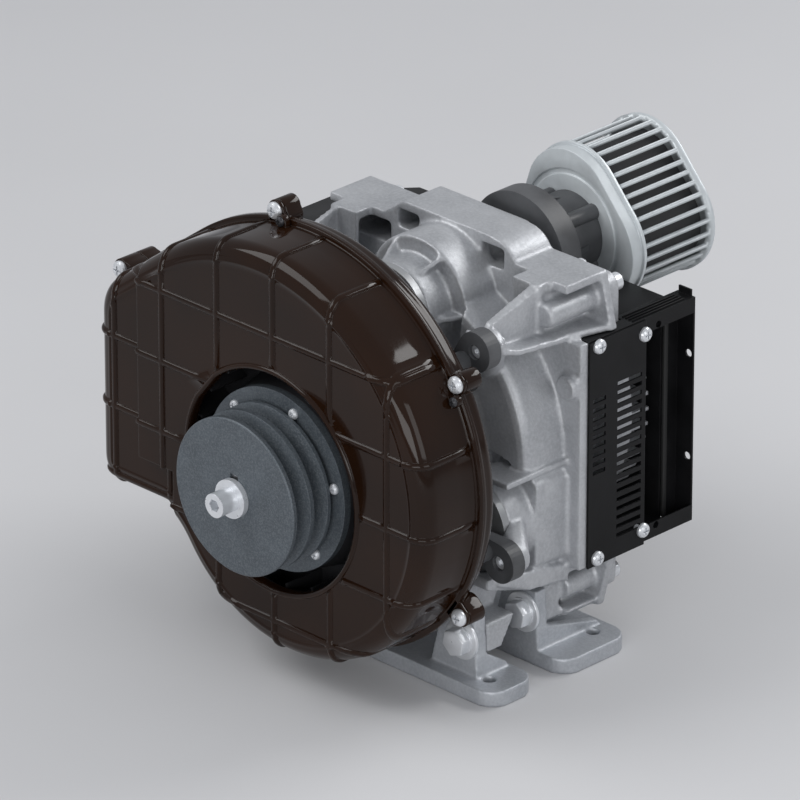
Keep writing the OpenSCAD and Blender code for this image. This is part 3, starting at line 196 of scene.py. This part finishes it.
def satin_alloy(name, colour, metallic=0.6):
    """Drawn or machined aluminium, satin, with fine turning marks."""
    made = Finish(name, colour, metallic=metallic, roughness=0.36)
    haze = made.ramp(made.noise(70.0, 3.0), 0.3, 0.7)
    made.colour(made.mix(haze, tint(colour, 0.86), colour))
    made.rough(made.ramp(made.noise(500.0, 2.0), 0.3, 0.7) * 0.12 + 0.3)
    made.relief(made.noise(700.0, 2.0), 0.00005, 0.5, made.soft_edges(0.0006))
    return made.material


def soft_black(name, colour, roughness):
    """Rubber, or the filter's medium."""
    made = Finish(name, colour, roughness=roughness)
    fibre = made.noise(1200.0, 3.0)
    made.colour(made.mix(fibre, tint(colour, 0.6), tint(colour, 1.4)))
    made.rough(fibre * 0.1 + (roughness - 0.05))
    made.relief(fibre, 0.0001, 0.6)
    return made.material


finishes = {
    "cast_alloy": cast_alloy("cast_alloy", (0.50, 0.51, 0.53), (0.39, 0.40, 0.42), (0.66, 0.68, 0.70)),
    "cast_alloy_feet": cast_alloy("cast_alloy_feet", (0.49, 0.51, 0.54), (0.38, 0.40, 0.43),
                                  (0.66, 0.68, 0.71)),
    "machined_alloy": satin_alloy("machined_alloy", (0.42, 0.43, 0.44)),
    "zinc_steel": bright_steel("zinc_steel", (0.80, 0.82, 0.85), 0.3, 0.55),
    "dark_screw": bright_steel("dark_screw", (0.06, 0.06, 0.065), 0.3, 0.6),
    "dark_cast": black_powder("dark_cast", (0.062, 0.064, 0.068), 0.45),
    # The casing's two browns are a painted warm reflection on a near-black moulding
    "casing_gloss": black_gloss("casing_gloss", (0.0200, 0.0076, 0.0030), (0.0105, 0.0043, 0.0020)),
    "duct_black": black_powder("duct_black", (0.0060, 0.0060, 0.0066), 0.38, 0.16),
    "seal_black": soft_black("seal_black", (0.015, 0.015, 0.015), 0.7),
    "filter_alloy": satin_alloy("filter_alloy", (0.62, 0.66, 0.68), 0.25),
    "filter_media": soft_black("filter_media", (0.03, 0.03, 0.032), 0.8),
    "brass_fitting": bright_steel("brass_fitting", (0.62, 0.43, 0.16), 0.3),
    "shaft_steel": bright_steel("shaft_steel", (0.42, 0.43, 0.45), 0.3),
    "bearing_steel": bright_steel("bearing_steel", (0.5, 0.51, 0.53), 0.22),
    "pulley_iron": speckled_iron("pulley_iron", (0.088, 0.104, 0.120), (0.21, 0.235, 0.255)),
    "impeller_alloy": black_powder("impeller_alloy", (0.02, 0.02, 0.022), 0.4),
}

for part in frame["record"]["subparts"]:
    node = nodes[part["node"]]
    node.data.materials.clear()
    node.data.materials.append(finishes[part["material_slot"]])


# Modelling helpers
def deselect():
    bpy.ops.object.select_all(action="DESELECT")


def only(piece):
    """Makes a piece the one that is selected and active."""
    deselect()
    piece.select_set(True)
    bpy.context.view_layer.objects.active = piece


def finish_piece(piece, body, slot, angle=35.0):
    """Smooth shading, material, slot and body of a finished piece."""
    only(piece)
    bpy.ops.object.shade_smooth_by_angle(angle=math.radians(angle))
    piece.data.materials.clear()
    piece.data.materials.append(finishes[slot])
    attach(piece, body)


def apply_modifier(piece, kind, **settings):
    only(piece)
    modifier = piece.modifiers.new(kind.lower(), kind)
    for key, value in settings.items():
        setattr(modifier, key, value)
    bpy.ops.object.modifier_apply(modifier=modifier.name)


def round_edges(piece, width, segments, angle=30.0):
    """Rounds the edges that are sharper than the angle."""
    apply_modifier(piece, "BEVEL", width=width, segments=segments, limit_method="ANGLE",
                   angle_limit=math.radians(angle))


def clean_mesh(piece, gap=1e-6, outward=True):
    only(piece)
    bpy.ops.object.mode_set(mode="EDIT")
    bpy.ops.mesh.select_all(action="SELECT")
    bpy.ops.mesh.remove_doubles(threshold=gap)
    if outward:
        bpy.ops.mesh.normals_make_consistent(inside=False)
    bpy.ops.object.mode_set(mode="OBJECT")


def select_faces(piece, wanted):
    """Selects the faces whose centre and normal pass the test, and stays in edit mode."""
    only(piece)
    bpy.ops.object.mode_set(mode="EDIT")
    bpy.ops.mesh.select_mode(type="FACE")
    bpy.ops.mesh.select_all(action="DESELECT")
    bpy.ops.object.mode_set(mode="OBJECT")
    for face in piece.data.polygons:
        face.select = bool(wanted(face.center, face.normal))
    bpy.ops.object.mode_set(mode="EDIT")


def cut_plane(piece, place, normal):
    """Cuts a line of edges where a plane passes through the piece."""
    only(piece)
    bpy.ops.object.mode_set(mode="EDIT")
    bpy.ops.mesh.select_all(action="SELECT")
    bpy.ops.mesh.bisect(plane_co=place, plane_no=normal)
    bpy.ops.object.mode_set(mode="OBJECT")


def cut_away(piece, cut):
    """Takes one solid out of another, and removes it."""
    apply_modifier(piece, "BOOLEAN", operation="DIFFERENCE", object=cut, solver="EXACT")
    bpy.data.objects.remove(cut, do_unlink=True)


def join_to(piece, extras):
    only(piece)
    for extra in extras:
        extra.select_set(True)
    bpy.ops.object.join()


def copy_node(name, node):
    """A merged copy of a CAD node's mesh, to be shaped further."""
    made = bpy.data.objects.new(name, nodes[node].data.copy())
    bpy.context.scene.collection.objects.link(made)
    clean_mesh(made, 2e-6, outward=False)
    return made


def outline(xs, zs):
    """The four corners of a rectangle across the shaft."""
    return (xs[0], zs[0]), (xs[1], zs[0]), (xs[1], zs[1]), (xs[0], zs[1])


def wedge(ys, front, rear, mirror=(1, 1)):
    """A solid between two four-cornered outlines, from the front one at ys[0] to the rear one at ys[1]."""
    deselect()
    bpy.ops.mesh.primitive_cube_add(size=2.0)
    made = bpy.context.object
    order = ((-1, -1), (1, -1), (1, 1), (-1, 1))
    for vertex in made.data.vertices:
        corners, y = (front, ys[0]) if vertex.co.y < 0 else (rear, ys[1])
        x, z = corners[order.index((round(vertex.co.x), round(vertex.co.z)))]
        vertex.co = (x * mirror[0], y, SHAFT_Z + z * mirror[1])
    clean_mesh(made)
    return made


def box(xs, ys, zs, mirror=(1, 1)):
    return wedge(ys, outline(xs, zs), outline(xs, zs), mirror)


def cylinder(x, z, radius, front, rear, sides=40, turn=0.0):
    """A plain round along the shaft, or with six sides a hexagon."""
    deselect()
    bpy.ops.mesh.primitive_cylinder_add(vertices=sides, radius=radius, depth=rear - front,
                                        location=(x, (front + rear) / 2, SHAFT_Z + z),
                                        rotation=(math.radians(90), math.radians(turn), 0))
    made = bpy.context.object
    bpy.ops.object.transform_apply(location=True, rotation=True, scale=True)
    return made


def rod(x, z, radius, front, rear):
    """A round boss along the shaft, eased at both ends."""
    made = cylinder(x, z, radius, front, rear)
    round_edges(made, min(0.0012, 0.3 * (rear - front)), 2, 50)
    return made


def cast_piece(name, node, body, slot, voxel, most, cuts=(), adds=()):
    """A casting: the node's shape with pockets cut and bosses added, and every edge rounded as sand casting
    does. Its triangles are thinned to the most that is given."""
    made = copy_node(name, node)
    for cut in cuts:
        cut_away(made, cut)
    if adds:
        join_to(made, adds)
    apply_modifier(made, "REMESH", mode="VOXEL", voxel_size=voxel)
    apply_modifier(made, "SMOOTH", factor=0.5, iterations=3)
    triangles = len(made.data.polygons) * 2
    if triangles > most:
        apply_modifier(made, "DECIMATE", ratio=most / triangles)
    finish_piece(made, body, slot, 40.0)
    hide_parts(node)


def eased_piece(name, node, body, slot, width, segments, angle):
    """The node's shape with its sharp edges eased."""
    made = copy_node(name, node)
    apply_modifier(made, "DECIMATE", decimate_type="DISSOLVE", angle_limit=math.radians(0.5))
    round_edges(made, width, segments, angle)
    clean_mesh(made, 2e-6, outward=False)
    finish_piece(made, body, slot, 40.0)
    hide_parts(node)


def loft(name, rings):
    """A skin over rings of points that follow each other; the last ring joins the first."""
    around, along = len(rings[0]), len(rings)
    deselect()
    bpy.ops.mesh.primitive_grid_add(x_subdivisions=around, y_subdivisions=along, size=1.0)
    made = bpy.context.object
    made.name = name
    for vertex in made.data.vertices:
        i = round((vertex.co.x + 0.5) * around) % around
        k = round((vertex.co.y + 0.5) * along) % along
        vertex.co = rings[k][i]
    clean_mesh(made)
    return made


# Fan casing: where its front, its seam and its back lie along the shaft, its wall, and the lips at its seam
COVER_Y = -0.1505
SEAM_Y = -0.0965
BACK_Y = -0.0785
WALL = 0.0025
LIP = 0.0042
LIP_T = 0.003
LIP_EASE = 0.0005
LIP_ROOT = 0.0012
LIP_ROOT_MID = 0.0003
FLANGE_Y = SEAM_Y - LIP_T

# The spiral of its outline: radius at angle 0, growth for each degree, and the angles of its two ends
VOLUTE_R0 = 0.1515
VOLUTE_GROW = 0.000225
VOLUTE_START = -138.0
VOLUTE_END = 130.5

# Its outlet: the left wall and the floor, the bends of its corners, and the ends of its straight stretches
OUTLET_X = 0.184
OUTLET_Z = 0.060
TOP_BEND = 0.018
LOW_BEND = 0.02
TONGUE_BEND = 0.016
WALL_TOP_GAP = 0.023
WALL_LOW_Z = -0.035
FLOOR_LEFT_GAP = 0.026
FLOOR_RIGHT_X = -0.126


def spiral(angle):
    r = VOLUTE_R0 + VOLUTE_GROW * angle
    return np.array((r * math.cos(math.radians(angle)), r * math.sin(math.radians(angle))))


def spiral_way(angle):
    """The direction in which the spiral runs."""
    growth = math.degrees(VOLUTE_GROW)
    r = VOLUTE_R0 + VOLUTE_GROW * angle
    c, s = math.cos(math.radians(angle)), math.sin(math.radians(angle))
    return np.array((growth * c - r * s, growth * s + r * c))


def bend(first, corner, last, steps):
    """Points on a rounded corner."""
    return [(1 - t) ** 2 * first + 2 * t * (1 - t) * corner + t * t * last
            for t in np.linspace(0.0, 1.0, steps + 1)]


def volute_path():
    """The casing's outline: the spiral, then the corners of its outlet, then the tongue."""
    top, way = spiral(VOLUTE_END), spiral_way(VOLUTE_END)
    top_corner = top - way * (OUTLET_X + top[0]) / way[0]
    tongue, tongue_way = spiral(VOLUTE_START), spiral_way(VOLUTE_START)
    tongue_corner = tongue - tongue_way * (tongue[1] + OUTLET_Z) / tongue_way[1]
    path = [spiral(a) for a in np.linspace(VOLUTE_START, VOLUTE_END, 145)]
    path += bend(top_corner - TOP_BEND * way / np.linalg.norm(way), top_corner,
                 top_corner - (0, TOP_BEND), 12)
    path += list(np.linspace((-OUTLET_X, top_corner[1] - WALL_TOP_GAP), (-OUTLET_X, WALL_LOW_Z), 13))
    path += bend(np.array((-OUTLET_X, LOW_BEND - OUTLET_Z)), np.array((-OUTLET_X, -OUTLET_Z)),
                 np.array((LOW_BEND - OUTLET_X, -OUTLET_Z)), 10)
    path += list(np.linspace((FLOOR_LEFT_GAP - OUTLET_X, -OUTLET_Z), (FLOOR_RIGHT_X, -OUTLET_Z), 5))
    path += bend(tongue_corner - (TONGUE_BEND, 0.0), tongue_corner, tongue, 12)[:-1]
    return np.array(path)


VOLUTE = volute_path()
VOLUTE_STEP = np.roll(VOLUTE, -1, 0) - np.roll(VOLUTE, 1, 0)
VOLUTE_IN = np.column_stack((-VOLUTE_STEP[:, 1], VOLUTE_STEP[:, 0]))
VOLUTE_IN = VOLUTE_IN / np.linalg.norm(VOLUTE_STEP, axis=1)[:, None]
VOLUTE_ANGLE = np.arctan2(VOLUTE[:, 1], VOLUTE[:, 0])


def casing_ring(station, inset):
    """The casing's outline at a station, moved inwards."""
    return [Vector((x, station, SHAFT_Z + z)) for x, z in VOLUTE + inset * VOLUTE_IN]


def round_ring(station, radius):
    """A circle round the shaft, with a point for each point of the casing's outline."""
    return [Vector((radius * math.cos(a), station, SHAFT_Z + radius * math.sin(a))) for a in VOLUTE_ANGLE]


def between(first, second, share):
    return [p.lerp(q, share) for p, q in zip(first, second)]


def quarter(start, steps, station, inset, radius, sign):
    """Rings over a quarter round, from a start angle to its end at 90 degrees."""
    return [casing_ring(station + sign * radius * (1 - math.cos(math.radians(a))),
                        inset + radius * (1 - math.sin(math.radians(a))))
            for a in np.linspace(start, 90.0, steps)]


def lip_rings(side):
    """The lip at the seam, from inside the wall to the foot of the lip; side is -1 in front and 1 behind."""
    top = SEAM_Y + side * LIP_T
    return [casing_ring(SEAM_Y, WALL), casing_ring(SEAM_Y, -LIP), casing_ring(top - side * LIP_EASE, -LIP),
            casing_ring(top, LIP_EASE - LIP), casing_ring(top, -LIP_ROOT),
            casing_ring(top + side * LIP_ROOT_MID, -LIP_ROOT_MID), casing_ring(top + side * LIP_ROOT, 0.0)]


# Front shell: one closed wall, from the air inlet over the rounding to the seam and back inside. The inlet's
# rolled lip is a row of places (behind the front, outside the inlet's radius).
INLET_R = 0.083
INLET_DEPTH = 0.006
INLET_LIP = ((INLET_DEPTH, 0.0), (0.001, 0.0), (-0.0008, 0.0004), (-0.0017, 0.0012), (-0.0020, 0.0022),
             (-0.0017, 0.0032), (-0.0009, 0.0040), (0.0, 0.0044))
ROUNDING = 0.0134
EDGE_RISE = 0.0007
face_edge = casing_ring(COVER_Y, ROUNDING + 0.0012)
rings = [round_ring(COVER_Y + behind, INLET_R + outside) for behind, outside in INLET_LIP]
rings += [between(rings[-1], face_edge, share)
          for share in (0.05, 0.12, 0.2, 0.3, 0.42, 0.56, 0.72, 0.86, 0.95)]
rings += [face_edge, casing_ring(COVER_Y - EDGE_RISE, ROUNDING + 0.0004),
          casing_ring(COVER_Y - EDGE_RISE, ROUNDING - 0.0006)]
rings += quarter(8.0, 12, COVER_Y, 0.0, ROUNDING, 1)
rings += [casing_ring(FLANGE_Y - gap, 0.0) for gap in (0.030, 0.016)]
rings += reversed(lip_rings(-1))
rings += [casing_ring(SEAM_Y - gap, WALL) for gap in (LIP_T, 0.012, 0.026)]
rings += reversed(quarter(8.0, 7, COVER_Y + WALL, WALL, ROUNDING - WALL, 1))
inner_edge = casing_ring(COVER_Y + WALL, ROUNDING + 0.001)
inner_round = round_ring(COVER_Y + WALL, INLET_R + WALL)
rings += [inner_edge, between(inner_edge, inner_round, 0.5), inner_round,
          round_ring(COVER_Y + INLET_DEPTH, INLET_R + WALL)]
cover = loft("fan_cover_front_shell", rings)

# The left part of the front shell, and a band along its outlet's floor, stand back from the rest
STEP_X = -0.135
STEP_LOW_X = -0.100
STEP_LOW_Z = -0.026
STEP_D = 0.007


def in_step(x, z):
    return x < STEP_X or (x < STEP_LOW_X and z < STEP_LOW_Z)


def outer_skin(centre, normal):
    """True on the outside of the casing's wall, false inside it."""
    away = Vector((centre.x, 0.0, centre.z - SHAFT_Z)).normalized()
    return normal.y < -0.05 or normal.dot(away) > 0.15


def stands_back(centre, normal):
    margin = 0.0 if outer_skin(centre, normal) else WALL
    return centre.y < FLANGE_Y - 1e-5 and in_step(centre.x - margin, centre.z - SHAFT_Z - margin)


for margin in (0.0, WALL):
    cut_plane(cover, (STEP_X + margin, 0, 0), (1, 0, 0))
    cut_plane(cover, (STEP_LOW_X + margin, 0, 0), (1, 0, 0))
    cut_plane(cover, (0, 0, SHAFT_Z + STEP_LOW_Z + margin), (0, 0, 1))
select_faces(cover, stands_back)
bpy.ops.mesh.extrude_region_move()
depth = FLANGE_Y - COVER_Y
bpy.ops.transform.resize(value=(1.0, (depth - STEP_D) / depth, 1.0), center_override=(0.0, FLANGE_Y, 0.0))
bpy.ops.object.mode_set(mode="OBJECT")
clean_mesh(cover, 2e-6, outward=False)

# Raised beads in a grid over the front shell: cut as narrow strips, and lifted to a half-round profile. The
# slivers that the cuts leave are merged first. A vertex near the flat front is lifted straight forward.
BEAD = 0.0026
BEAD_RISE = 0.0019
BEAD_FOOT = 0.93
BEAD_X = [0.002 + 0.056 * i for i in range(-3, 3)]
BEAD_Z = [0.002 + 0.055 * i for i in range(-2, 3)]
BEAD_INLET_R = INLET_R + 0.0046
SLIVER = 1.5e-4
FLAT_LOW, FLAT_HIGH = -0.0009, 0.0003
# How far a wall may face across a bead and still carry it, and over how much of that the bead fades
FACING_MOST, FACING_FADE = 0.92, 0.2


def cut_beads(piece, direction, places):
    """Lines of edges along each bead: its two feet, its shoulders and its back."""
    for place in places:
        for share in (-1.0, -0.8, -0.4, 0.4, 0.8, 1.0):
            cut_plane(piece, Vector((0, 0, SHAFT_Z)) + direction * (place + share * BEAD), direction)


def bead_rise(place, facing, beads):
    """Height of the nearest bead's profile; it fades where the wall faces across the bead."""
    off = min(abs(place - bead) for bead in beads) / BEAD
    fade = min(1.0, max(0.0, (FACING_MOST - abs(facing)) / FACING_FADE))
    return BEAD_RISE * fade * math.sqrt(1.0 - off * off) if off < BEAD_FOOT else 0.0


cut_beads(cover, Vector((1, 0, 0)), BEAD_X)
cut_beads(cover, Vector((0, 0, 1)), BEAD_Z)
clean_mesh(cover, SLIVER, outward=False)
lifts = []
for vertex in cover.data.vertices:
    x, z, facing = vertex.co.x, vertex.co.z - SHAFT_Z, vertex.normal
    front = COVER_Y + STEP_D if in_step(x, z) else COVER_Y
    if FLAT_LOW < vertex.co.y - front < FLAT_HIGH:
        facing = Vector((0.0, -1.0, 0.0))
    if outer_skin(vertex.co, facing) and math.hypot(x, z) > BEAD_INLET_R and vertex.co.y < FLANGE_Y - 0.001:
        rise = max(bead_rise(x, facing.x, BEAD_X), bead_rise(z, facing.z, BEAD_Z))
        if rise > 0.0:
            lifts.append((vertex.index, facing * rise))
for index, move in lifts:
    cover.data.vertices[index].co += move

# Screw ears of the casing, as (x, height above the shaft, how far the front one reaches before the seam), and
# the round bumps on the front shell's lip
COVER_SCREWS = ((-0.046, 0.178, 0.003), (0.132, 0.1015, 0.003), (0.136, -0.077, 0.003),
                (-0.189, 0.092, 0.0176))
SMALL_SCREWS = ((-0.0349, 0.1747, 0.009), (0.1352, 0.0912, 0.009))
BUMPS = ((-0.184, 0.034), (-0.184, -0.014), (-0.184, -0.048), (-0.052, -0.125), (0.012, -0.136))
SEAM_GAP = 0.0002


def ear(x, z, radius, reach, spread, front, rear, easing):
    """A screw ear: round at its screw, widening towards the wall that carries it."""
    made = cylinder(x, z, radius, front, rear)
    inwards = Vector((-x, 0.0, -z)).normalized()
    aside = Vector((inwards.z, 0.0, -inwards.x))
    centre = Vector((x, 0.0, SHAFT_Z + z))
    for vertex in made.data.vertices:
        off = vertex.co - centre
        along, sideways = off.dot(inwards), off.dot(aside)
        if along > 0.15 * radius:
            share = along / radius
            vertex.co += inwards * reach * share + aside * sideways * spread * share
    round_edges(made, easing, 3, 50)
    return made


def large_ear(x, z, radius, front, rear):
    return ear(x, z, radius, 0.007, 0.6, front, rear, 0.0008)


extras = [large_ear(x, z, 0.0076, SEAM_Y - grip, SEAM_Y - SEAM_GAP) for x, z, grip in COVER_SCREWS]
extras += [ear(x, z, 0.0042, 0.004, 0.4, SEAM_Y - grip, SEAM_Y - grip + 0.005, 0.0005)
           for x, z, grip in SMALL_SCREWS]
extras += [ear(x, z, 0.007, 0.0, 0.0, SEAM_Y - 0.012, SEAM_Y - 0.001, 0.0028) for x, z in BUMPS]
join_to(cover, extras)
finish_piece(cover, "frame", "casing_gloss", 56.0)
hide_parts("fan_cover_front")

# Rear shell: lip, wall, rounding and back, with the window to the side duct
REAR_R = 0.008
BACK_HOLE_R = 0.025
WINDOW_X = (-0.172, -0.131)
WINDOW_Y = (BACK_Y - 0.006, BACK_Y + 0.006)
WINDOW_Z = (-0.048, 0.074)
back_edge, back_round = casing_ring(BACK_Y, REAR_R), round_ring(BACK_Y, BACK_HOLE_R)
inner_edge, inner_round = casing_ring(BACK_Y - WALL, REAR_R), round_ring(BACK_Y - WALL, BACK_HOLE_R)
rings = lip_rings(1)
rings += reversed(quarter(0.0, 9, BACK_Y, 0.0, REAR_R, -1))
rings += [between(back_edge, back_round, share) for share in (0.05, 0.5)]
rings += [back_round, inner_round, between(inner_edge, inner_round, 0.5)]
rings += quarter(0.0, 6, BACK_Y - WALL, WALL, REAR_R - WALL, -1)
rear_shell = loft("fan_casing_rear_shell", rings)
window = box(WINDOW_X, WINDOW_Y, WINDOW_Z)
round_edges(window, 0.004, 4)
cut_away(rear_shell, window)
extras = [large_ear(x, z, 0.0075, SEAM_Y + SEAM_GAP, BACK_Y - 0.003) for x, z, _ in COVER_SCREWS]
join_to(rear_shell, extras)
finish_piece(rear_shell, "frame", "casing_gloss", 45.0)
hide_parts("fan_casing_back")

# Crankcase. Blocks that are cut away, as ranges of x, of y and of height above the shaft, on the right half:
# the open corner pockets, the corners before them, a slot over each lower crank, a plate beside the upper webs
UPPER_POCKET = (0.1025, 0.131), (0.0246, 0.060), (0.0932, 0.1242)
UPPER_CORNER = (0.1036, 0.131), (0.011, 0.0248), (0.0932, 0.132)
LOWER_POCKET = (0.1025, 0.131), (0.030, 0.060), (0.0932, 0.1242)
LOWER_CORNER = (0.1088, 0.131), (0.010, 0.0302), (0.1005, 0.132)
CRANK_SLOT = (0.1116, 0.1156), (0.003, 0.020), (0.036, 0.0715)
WEB_PLATE = (0.0805, 0.0957), (-0.0405, 0.0118), (0.1098, 0.1325)

# What thins a front leg: a wedge, deeper in front
LEG_Y = (-0.0496, -0.0125)
LEG_FRONT = outline((0.093, 0.116), (0.108, 0.0825))
LEG_REAR = outline((0.093, 0.116), (0.108, 0.094))

# What is added: a sloped end wall, a sloping shelf and a bolt boss in each corner pocket, a boss on each side
# of the flange, and a ridge over each lower crank
END_WALL_Y = (0.060, 0.0668)
END_WALL = (0.100, 0.0886), (0.1285, 0.0886), (0.118, 0.131), (0.100, 0.131)
SHELF_Y = (0.029, 0.0668)
SHELF_FRONT = outline((0.112, 0.1185), (0.0884, 0.0932))
SHELF_REAR = (0.112, 0.0884), (0.1285, 0.0884), (0.1275, 0.0932), (0.112, 0.0932)
BOSS_X, BOSS_Z, BOSS_R, BOSS_REAR = 0.1075, 0.109, 0.009, 0.062
UPPER_BOSS_FRONT, LOWER_BOSS_FRONT = 0.012, 0.031
FLANGE_BOSS_X, FLANGE_BOSS_Z, FLANGE_BOSS_R = 0.1195, 0.054, 0.0092
FLANGE_BOSS_Y = (0.0215, 0.030)
RIDGE_Y = (0.0042, 0.030)
RIDGE = (0.1088, -0.0345), (0.118, -0.0345), (0.1112, -0.024), (0.1060, -0.024)

cuts, adds = [], []
for side in (1, -1):
    upper, lower = (side, 1), (side, -1)
    cuts += [box(*UPPER_POCKET, upper), box(*UPPER_CORNER, upper),
             box(*LOWER_POCKET, lower), box(*LOWER_CORNER, lower), box(*CRANK_SLOT, lower),
             wedge(LEG_Y, LEG_FRONT, LEG_REAR, lower), box(*WEB_PLATE, upper)]
    for corner, boss_front in ((upper, UPPER_BOSS_FRONT), (lower, LOWER_BOSS_FRONT)):
        adds += [wedge(END_WALL_Y, END_WALL, END_WALL, corner),
                 wedge(SHELF_Y, SHELF_FRONT, SHELF_REAR, corner),
                 rod(corner[0] * BOSS_X, corner[1] * BOSS_Z, BOSS_R, boss_front, BOSS_REAR)]
    adds += [rod(side * FLANGE_BOSS_X, FLANGE_BOSS_Z, FLANGE_BOSS_R, *FLANGE_BOSS_Y),
             wedge(RIDGE_Y, RIDGE, RIDGE, upper)]
cast_piece("crankcase", "main_frame", "frame", "cast_alloy", 0.0015, 190000, cuts, adds)
for foot in ("front_foot", "rear_foot"):
    cast_piece(foot + "_casting", foot, "frame", "cast_alloy_feet", 0.0012, 60000)

# Foot bolts: forged hexagon heads on wide washers, into the legs
FOOT_BOLT_X = 0.101
FOOT_BOLT_Z = -0.120
LEG_FACES = (-0.060, 0.002)
WASHER_R, WASHER_T = 0.0154, 0.003
HEAD_R, HEAD_TURN = 0.0108, 12
HEAD_Y = (-0.0114, -0.0026)
COLLAR_R, COLLAR_Y = 0.0112, (-0.0040, -0.0028)
SHANK_R, SHANK_Y = 0.0060, (-0.001, 0.029)


def foot_bolt(x, face):
    """One bolt in four solids, with its washer against a leg's face."""
    washer = rod(x, FOOT_BOLT_Z, WASHER_R, face - WASHER_T, face)
    head = cylinder(x, FOOT_BOLT_Z, HEAD_R, face + HEAD_Y[0], face + HEAD_Y[1], 6, HEAD_TURN)
    round_edges(head, 0.0009, 3, 40)
    return [washer, head, rod(x, FOOT_BOLT_Z, COLLAR_R, face + COLLAR_Y[0], face + COLLAR_Y[1]),
            rod(x, FOOT_BOLT_Z, SHANK_R, face + SHANK_Y[0], face + SHANK_Y[1])]


solids = [solid for x in (-FOOT_BOLT_X, FOOT_BOLT_X) for face in LEG_FACES for solid in foot_bolt(x, face)]
foot_bolts = solids[0]
join_to(foot_bolts, solids[1:])
foot_bolts.name = "foot_bolts_forged"
finish_piece(foot_bolts, "frame", "zinc_steel", 30.0)
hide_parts("foot_bolts")

# Filter: a cage that is made stouter before its rear plate, as the photograph shows its bars, and a base with
# eased rims
REAR_PLATE_T = 0.0048
BAR_MARGIN = 0.0012
BAR_GROWTH = 0.00045
cage = copy_node("filter_cage_bars", "filter_cage")
bars_end = max(vertex.co.y for vertex in cage.data.vertices) - REAR_PLATE_T + BAR_MARGIN
bars = cage.vertex_groups.new(name="bars")
bars.add([vertex.index for vertex in cage.data.vertices if vertex.co.y < bars_end], 1.0, "REPLACE")
apply_modifier(cage, "DISPLACE", strength=BAR_GROWTH, mid_level=0.0, vertex_group="bars")
cage.vertex_groups.clear()
finish_piece(cage, "frame", "filter_alloy", 40.0)
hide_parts("filter_cage")
eased_piece("filter_base_cap", "filter_base", "frame", "filter_alloy", 0.0012, 3, 40.0)

# Left duct and rear hood: moulded, with rounded edges
eased_piece("side_duct_moulded", "side_duct", "frame", "duct_black", 0.0024, 3, 12.0)
eased_piece("rear_hood", "rear_shroud", "frame", "duct_black", 0.0009, 2, 40.0)

# Outlet duct: a foam strip in the gap beside the rear hood, and the folded ribs along its top
STRIP = (0.1114, 0.1144), (0.1306, 0.1346), (-0.086, 0.086)
RIB_X = [0.1165 + 0.0032 * i for i in range(4)]
RIB_HALF = 0.0005
RIB_Y = (0.0835, 0.1375)
RIB_Z = (0.0875, 0.0892)
strip = box(*STRIP)
strip.name = "duct_gap_seal"
round_edges(strip, 0.0009, 3)
finish_piece(strip, "frame", "seal_black")
ribs = [box((x - RIB_HALF, x + RIB_HALF), RIB_Y, RIB_Z) for x in RIB_X]
for rib in ribs:
    round_edges(rib, 0.0004, 2)
join_to(ribs[0], ribs[1:])
ribs[0].name = "duct_top_ribs"
finish_piece(ribs[0], "frame", "duct_black")

# Camera
back = Vector((math.sin(AZIMUTH) * math.cos(ELEVATION), -math.cos(AZIMUTH) * math.cos(ELEVATION),
               math.sin(ELEVATION)))
right = Vector((math.cos(AZIMUTH), math.sin(AZIMUTH), 0.0))
up = back.cross(right)
camera_data = bpy.data.cameras.new("camera")
camera = bpy.data.objects.new("camera", camera_data)
bpy.context.scene.collection.objects.link(camera)
camera_data.sensor_width = SENSOR_MM
camera_data.lens = FOCAL_PX / IMAGE_PX * SENSOR_MM
camera_data.clip_start = 0.1
camera_data.clip_end = 60.0
camera.location = (PULLEY_FACE + back * CAMERA_AWAY
                   - right * ((PULLEY_PX[0] - IMAGE_PX / 2) / FOCAL_PX * CAMERA_AWAY)
                   - up * ((IMAGE_PX / 2 - PULLEY_PX[1]) / FOCAL_PX * CAMERA_AWAY))
camera.rotation_mode = "QUATERNION"
camera.rotation_quaternion = (-back).to_track_quat("-Z", "Y")
bpy.context.scene.camera = camera

# Floor, just under the feet
FLOOR_SIZE = 14.0
FLOOR_GAP = 0.0002
deselect()
bpy.ops.mesh.primitive_plane_add(size=FLOOR_SIZE, location=(0.0, 0.0, -FLOOR_GAP))
floor = bpy.context.object
floor.name = "floor"
floor_finish = Finish("floor", (0.62, 0.62, 0.63), roughness=0.9, specular=0.0)
floor_finish.colour(floor_finish.mix(floor_finish.noise(3.0), (0.60, 0.60, 0.61), (0.64, 0.64, 0.65)))
floor.data.materials.append(floor_finish.material)

# World: plain pale studio
world = bpy.data.worlds.new("studio")
bpy.context.scene.world = world
world.use_nodes = True
world.node_tree.nodes["Background"].inputs["Color"].default_value = (0.80, 0.82, 0.86, 1.0)
world.node_tree.nodes["Background"].inputs["Strength"].default_value = 0.55
bpy.context.scene.view_settings.view_transform = "Standard"


def lamp(name, place, aim, size, energy):
    data = bpy.data.lights.new(name, "AREA")
    data.shape = "RECTANGLE"
    data.size, data.size_y = size
    data.energy = energy
    made = bpy.data.objects.new(name, data)
    bpy.context.scene.collection.objects.link(made)
    made.location = place
    made.rotation_mode = "QUATERNION"
    made.rotation_quaternion = (Vector(aim) - Vector(place)).to_track_quat("-Z", "Y")


lamp("key", place=(-0.9, -1.1, 1.7), aim=(0.0, 0.0, 0.16), size=(1.5, 1.0), energy=17.0)
lamp("rim", place=(0.5, 1.6, 1.5), aim=(0.0, 0.0, 0.2), size=(1.4, 0.6), energy=18.0)
lamp("side", place=(1.9, -0.2, 0.9), aim=(0.0, 0.0, 0.15), size=(0.9, 0.9), energy=5.5)
lamp("front", place=(1.1, -1.7, 0.55), aim=(0.05, 0.0, 0.12), size=(1.3, 0.6), energy=10.0)
